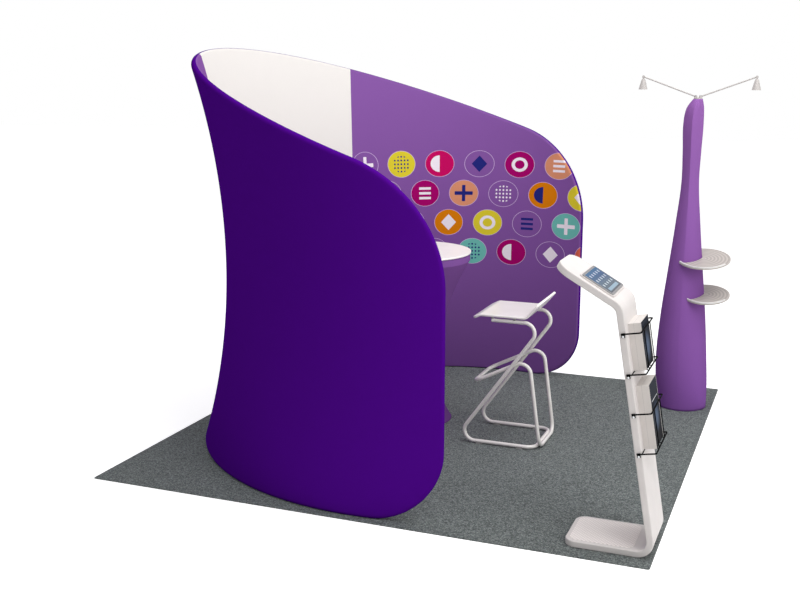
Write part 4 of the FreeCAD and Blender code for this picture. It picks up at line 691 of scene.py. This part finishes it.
# The lights: a white hub on the crown, two swinging arms and two flared spot lamps
# with frosted lenses, all enamelled white. The pivot screws are bare steel.

# Stoved enamel on thin metal: smooth white with a soft highlight along each tube.
light_white = plain("white enamel", "#bfbab7", 0.45, 0.00001, 0.002)
dress(light_white, "light_hub", "light_arm_left", "light_arm_right",
      "lamp_housing_left", "lamp_housing_right")
dress(button_steel, "light_pivot_screws")
# Frosted polycarbonate: milky, with a blurred shine.
dress(plain("frosted lens", "#f4f3ee", 0.28, 0.0003, 0.002), "lamp_lens_left", "lamp_lens_right")


# The counter: a fabric skirt hung from the drum ring and held down by the base, under a
# round laminate top. The skirt is a straight band at the rim, then flares in and out.

def arc_radius(heights, three):
    """Radius at each height of the circle through three (radius, height) points."""
    (r1, z1), (r2, z2), (r3, z3) = three
    left = np.array([[r2 - r1, z2 - z1], [r3 - r1, z3 - z1]]) * 2
    right = np.array([r2 ** 2 - r1 ** 2 + z2 ** 2 - z1 ** 2, r3 ** 2 - r1 ** 2 + z3 ** 2 - z1 ** 2])
    middle_r, middle_z = np.linalg.solve(left, right)
    size = math.hypot(r1 - middle_r, z1 - middle_z)
    return middle_r + np.sign(r2 - middle_r) * np.sqrt(size ** 2 - (heights - middle_z) ** 2)


counter_x, counter_y, ground = -0.284, 0.144, 0.006
waist_level, flare_top, counter_girth_radius = 0.400, 1.026, 0.25
flare = ((0.3735, flare_top), (0.250, 0.756), (0.178, waist_level))
skirt = ((0.178, waist_level), (0.208, 0.120), (0.268, 0.0003))
band_radius, band_level = 0.3737, [1.0275, 1.031, 1.05, 1.0692]
low_level = np.linspace(0.0006, waist_level, 50)
high_level = np.linspace(waist_level, flare_top, 90)[1:]
skirt_z = np.concatenate([low_level, high_level, band_level])
skirt_r = np.concatenate([arc_radius(low_level, skirt), arc_radius(high_level, flare),
                          np.full(len(band_level), band_radius)])[:, None]
around = np.radians(np.arange(0, 360, 2.0))
skirt_points = np.stack(np.broadcast_arrays(counter_x + skirt_r * np.cos(around),
                                            counter_y + skirt_r * np.sin(around),
                                            skirt_z[:, None] + ground), -1)
girth = np.radians(np.arange(0, 362, 2.0)) * counter_girth_radius
skirt_uv = np.stack(np.broadcast_arrays(girth, skirt_z[:, None]), -1)

# The tower's knit again, dyed a shade deeper: matt, and darkest at the foot.
counter_fabric = graded_knit("counter stretch knit", "#6d4585", "#84579f", 1.08)
counter_cover = surface("counter_skirt_knit", skirt_points, counter_fabric, skirt_uv, ring=True)
thicken(counter_cover)

rim_seam_reach, rim_seam_radius = 0.3742, 0.0012
outwards = np.stack([np.cos(around), np.sin(around), 0 * around], -1)
rim_path = np.array([counter_x, counter_y, band_level[0] + ground]) + rim_seam_reach * outwards
spin = np.radians(np.arange(0, 360, 45.0))[:, None, None]
rim_points = rim_path + rim_seam_radius * (np.cos(spin) * outwards
                                           + np.sin(spin) * np.array([0, 0, 1.0]))
rim_uv = np.stack(np.broadcast_arrays(girth, np.arange(len(spin) + 1)[:, None] * 0.001), -1)
rim_seam = surface("counter_rim_seam", rim_points, counter_fabric, rim_uv, ring=True, tube=True)
back_seam = welt("counter_back_seam", skirt_points[:, len(around) // 2], skirt_z, counter_fabric)
for piece in (counter_cover, rim_seam, back_seam):
    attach(piece, "booth")
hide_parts("counter_cover")
# Bent wood-fibre board, left raw: warm, dull and faintly mottled.
dress(plain("drum board", "#b8a58c", 0.7, 0.0001, 0.002), "counter_drum_ring")
# Pressed laminate: clean white and satin, with a thin clear sheen.
dress(plain("white laminate", "#faf6f3", 0.38, 0.00006, 0.0015, coat_weight=0.15), "counter_top")


# The stool: bent steel tube enamelled off-white, a folded white seat and grey rubber
# glides. The open rail ends at the front are stopped with pressed-in caps.

# Enamelled steel tube: off-white and smooth, with a clear narrow highlight on each bend.
stool_tube = plain("off-white tube enamel", "#efebe7", 0.33, 0.00005, 0.0015, coat_weight=0.3)
dress(stool_tube, "stool_side_frame_near", "stool_side_frame_far", "stool_crossbar",
      "stool_footrest", "stool_rear_legs")
# Bent board faced with laminate: bright white, a little glossier than the counter's top.
seat_white = plain("white seat laminate", "#fbf7f3", 0.3, 0.00005, 0.0015, coat_weight=0.35)
dress(seat_white, "stool_seat")
# Moulded rubber: an even dull grey.
dress(plain("grey rubber", "#a5a3a0", 0.75, 0.0001, 0.0012), "stool_glides", "stool_seat_pads")

plug_x, plug_z, plug_radius, plug_depth = 0.3560, 0.766, 0.0108, 0.0035
dome = np.radians(np.linspace(0, 84, 7))[:, None]
spin = np.radians(np.arange(0, 360, 15.0))[None, :]
bulge = plug_radius * np.cos(dome) ** 0.6
for name, across in (("near", -0.189), ("far", 0.189)):
    cap = np.stack(np.broadcast_arrays(plug_x - plug_depth * np.sin(dome),
                                       across + bulge * np.cos(spin),
                                       plug_z + bulge * np.sin(spin)), -1)
    plug = surface("stool_plug_" + name, cap, stool_tube, ring=True, caps=True)
    plug.data.flip_normals()
    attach(plug, "booth")


# The kiosk: a white powder-coated foot and leaning column whose head carries a tablet in
# a cradle; two black wire racks on the column hold printed cartons.

# Powder-coated board: white with a fine pebble and no sharp reflection.
kiosk_white = plain("white powder coat", "#dbd5d3", 0.55, 0.00012, 0.0009)
dress(kiosk_white, "kiosk_column", "tablet_cradle")

# Embossed vinyl mat: white studs on the slant, with painted shade greying the grooves between them.
foot_mat, tree, shader = new_material("embossed white mat", 0.6)
stud_half, groove_half, stud_edge = 0.007, 0.001, 0.0025
slant = add(tree, "Mapping", {"Vector": add(tree, "TexCoord").outputs["Object"],
                              "Rotation": (0, 0, math.radians(45))})
split = add(tree, "SeparateXYZ", [slant])
stud = [add(tree, "Math", [split.outputs[axis], stud_half], operation="PINGPONG")
        for axis in "XY"]
stud = add(tree, "Math", stud, operation="MINIMUM")
stud = add(tree, "MapRange", {"Value": stud, "From Min": groove_half, "From Max": stud_edge})
# Painted shade: the grooves between the studs are greyer than the studs.
tone = add(tree, "MixRGB", [stud, to_linear("#e0d8d5"), to_linear("#faf3f0")])
bump = add(tree, "Bump", {"Height": stud, "Strength": 0.8, "Distance": 0.0008})
tree.links.new(tone.outputs["Color"], shader.inputs["Base Color"])
tree.links.new(bump.outputs["Normal"], shader.inputs["Normal"])
dress(foot_mat, "kiosk_foot_mat")
# Anodised shell, blasted first: grey, half metallic and softly shining.
dress(plain("tablet shell", "#8c8b8b", 0.3, metallic=0.6), "tablet_body")
dress(rack_black, "kiosk_rack_upper", "kiosk_rack_lower")
dress(button_steel, "kiosk_rack_screws")

# Glass over a lit panel: a blue field that deepens downwards, with rows of pale tiles
# and a paler strip under them; the glass itself is smooth and reflects sharply.
screen, tree, shader = new_material("tablet screen glass", 0.12, specular_ior_level=0.2)
low, high = (np.array(corner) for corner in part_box("tablet_glass"))
seat = add(tree, "Mapping", {"Vector": add(tree, "TexCoord").outputs["Object"],
                             "Location": tuple((low + high) / 2),
                             "Rotation": (0, math.radians(30), 0)}, vector_type="TEXTURE")
split = add(tree, "SeparateXYZ", [seat])
down, over = split.outputs["X"], split.outputs["Y"]
field = add(tree, "ValToRGB", [add(tree, "Math", [down, 6.5, 0.5], operation="MULTIPLY_ADD")])
field.color_ramp.elements[0].color = to_linear("#3c6a86")
field.color_ramp.elements[1].color = to_linear("#081c2e")
tile_over = add(tree, "Math", [over, 0.020], operation="PINGPONG")
tile_down = add(tree, "Math", [down, 0.012], operation="ADD")
tile_down = add(tree, "Math", [tile_down, 0.018], operation="PINGPONG")
# Each mask starts as its strength and is cut to the middle and half size of each bound.
tile_half = 0.0075
tile_bounds = ((tile_over, 0.0, tile_half), (tile_down, 0.0, tile_half),
               (over, 0.0, 0.1), (down, -0.015, 0.045))
strip_bounds = ((over, 0.0, 0.09), (down, 0.0535, 0.0085))
shown = field
for mask, bounds, colour in ((0.55, tile_bounds, "#dfe9ef"), (0.5, strip_bounds, "#9fc0d6")):
    for value, at, half in bounds:
        within = add(tree, "Math", [value, at, half], operation="COMPARE")
        mask = add(tree, "Math", [mask, within], operation="MULTIPLY")
    shown = add(tree, "MixRGB", [mask, shown, to_linear(colour)])
tree.links.new(shown.outputs["Color"], shader.inputs["Base Color"])
tree.links.new(shown.outputs["Color"], shader.inputs["Emission Color"])
shader.inputs["Emission Strength"].default_value = 0.12
dress(screen, "tablet_glass")

# Coated carton board: a dark picture panel on the front with a pale glow and one rule,
# white board at the sides, and the fold of the flap half way back.
carton_lean, panel_depth, panel_half = math.radians(-9.7), 0.0285, 0.094
for node in ("display_carton_upper", "display_carton_lower"):
    carton, tree, shader = new_material("printed carton " + node[-5:], 0.7,
                                        specular_ior_level=0.05)
    low, high = (np.array(corner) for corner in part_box(node))
    seat = add(tree, "Mapping", {"Vector": add(tree, "TexCoord").outputs["Object"],
                                 "Location": tuple((low + high) / 2),
                                 "Rotation": (0, carton_lean, 0)}, vector_type="TEXTURE")
    deep, wide, tall = (add(tree, "SeparateXYZ", [seat]).outputs[axis] for axis in "XYZ")
    tone = add(tree, "ValToRGB", [add(tree, "Math", [tall, 3.0, 0.5], operation="MULTIPLY_ADD")])
    tone.color_ramp.elements[0].color = to_linear("#0a0a0d")
    tone.color_ramp.elements[1].color = to_linear("#1f232e")
    on_front = add(tree, "CombineXYZ", {"Y": wide, "Z": tall})
    ball = add(tree, "VectorMath", [on_front, (0, 0, -0.02)], operation="DISTANCE")
    glow = add(tree, "MapRange", {"Value": ball.outputs["Value"], "From Min": 0.02,
                                  "From Max": 0.075, "To Min": 0.35, "To Max": 0.0})
    picture = add(tree, "MixRGB", [glow, tone, to_linear("#7f93b3")])
    rule = add(tree, "Math", [add(tree, "Math", [tall, 0.064, 0.002], operation="COMPARE"),
                              add(tree, "Math", [wide, 0.0, 0.07], operation="COMPARE")],
               operation="MULTIPLY")
    picture = add(tree, "MixRGB", [rule, picture, to_linear("#d9d9de")])
    panel = add(tree, "Math", [add(tree, "Math", [deep, panel_depth], operation="GREATER_THAN"),
                               add(tree, "Math", [wide, 0.0, panel_half], operation="COMPARE")],
                operation="MULTIPLY")
    board = add(tree, "MixRGB", [panel, to_linear("#d8d2ce"), picture])
    fold = add(tree, "Math", [deep, -0.004, 0.0005], operation="COMPARE")
    board = add(tree, "MixRGB", [fold, board, to_linear("#b9b5b1")])
    tree.links.new(board.outputs["Color"], shader.inputs["Base Color"])
    dress(carton, node)


# The set: a pale floor that reads white but for the booth's soft shadow, studio light
# from above and the front right, and the camera where the photograph was taken from.

def seen_directly(tree):
    """1 for rays from the camera, off gloss or through glass, and 0 for those that light."""
    path = add(tree, "LightPath")
    seen = [path.outputs["Is Camera Ray"], path.outputs["Is Glossy Ray"]]
    seen = add(tree, "Math", seen, operation="MAXIMUM")
    return add(tree, "Math", [seen, path.outputs["Is Transmission Ray"]], operation="MAXIMUM")


# Seamless paper: lifted to white where it is looked at, and dull enough to take a shadow.
floor_white, tree, shader = new_material("studio floor", 0.9)
shader.inputs["Base Color"].default_value = to_linear("#f4f4f3")
shader.inputs["Emission Color"].default_value = (1, 1, 1, 1)
glow = add(tree, "Math", [seen_directly(tree), 0.6], operation="MULTIPLY")
tree.links.new(glow.outputs["Value"], shader.inputs["Emission Strength"])
floor_half, floor_level = 30, -0.0005
floor_points = np.array([[-1, -1, 0], [1, -1, 0], [1, 1, 0], [-1, 1, 0]]) * floor_half
floor = piece_from("studio_floor", floor_points + np.array([0, 0, floor_level]),
                   [(0, 1, 2, 3)], floor_white, smooth=False)

world = bpy.data.worlds.new("studio")
bpy.context.scene.world = world
world.use_nodes = True
tree = world.node_tree
sky = tree.nodes["Background"]
sky.inputs["Color"].default_value = (1, 1, 1, 1)
strength = add(tree, "MapRange", {"Value": seen_directly(tree), "To Min": 0.42, "To Max": 1.0})
tree.links.new(strength.outputs["Result"], sky.inputs["Strength"])


def softbox(name, place, aim, size, power):
    """A square area light at place, facing aim."""
    lamp = bpy.data.lights.new(name, "AREA")
    lamp.shape = "SQUARE"
    lamp.size = size
    lamp.energy = power
    box = bpy.data.objects.new(name, lamp)
    bpy.context.collection.objects.link(box)
    box.location = place
    heading = np.array(aim, float) - np.array(place, float)
    tilt = math.acos(-heading[2] / np.linalg.norm(heading))
    box.rotation_euler = (tilt, 0, math.atan2(heading[0], -heading[1]) + math.pi)


softbox("softbox_top", (1.6, -0.9, 5.5), (0.0, 0.0, 0.8), 4.0, 192)
softbox("softbox_front", (5.4, -3.2, 3.6), (0.2, 0.0, 0.9), 3.0, 105)
softbox("softbox_back", (-4.5, 3.5, 3.6), (-0.4, 0.0, 0.9), 3.0, 45)

camera_data = bpy.data.cameras.new("camera")
camera_data.lens = 48.615
camera_data.sensor_width = 36
camera = bpy.data.objects.new("camera", camera_data)
bpy.context.collection.objects.link(camera)
camera.location = (2.1155, -6.0578, 2.1791)
camera.rotation_euler = (math.radians(78.024), 0, math.radians(21.695))
bpy.context.scene.camera = camera
bpy.context.scene.view_settings.view_transform = "Standard"
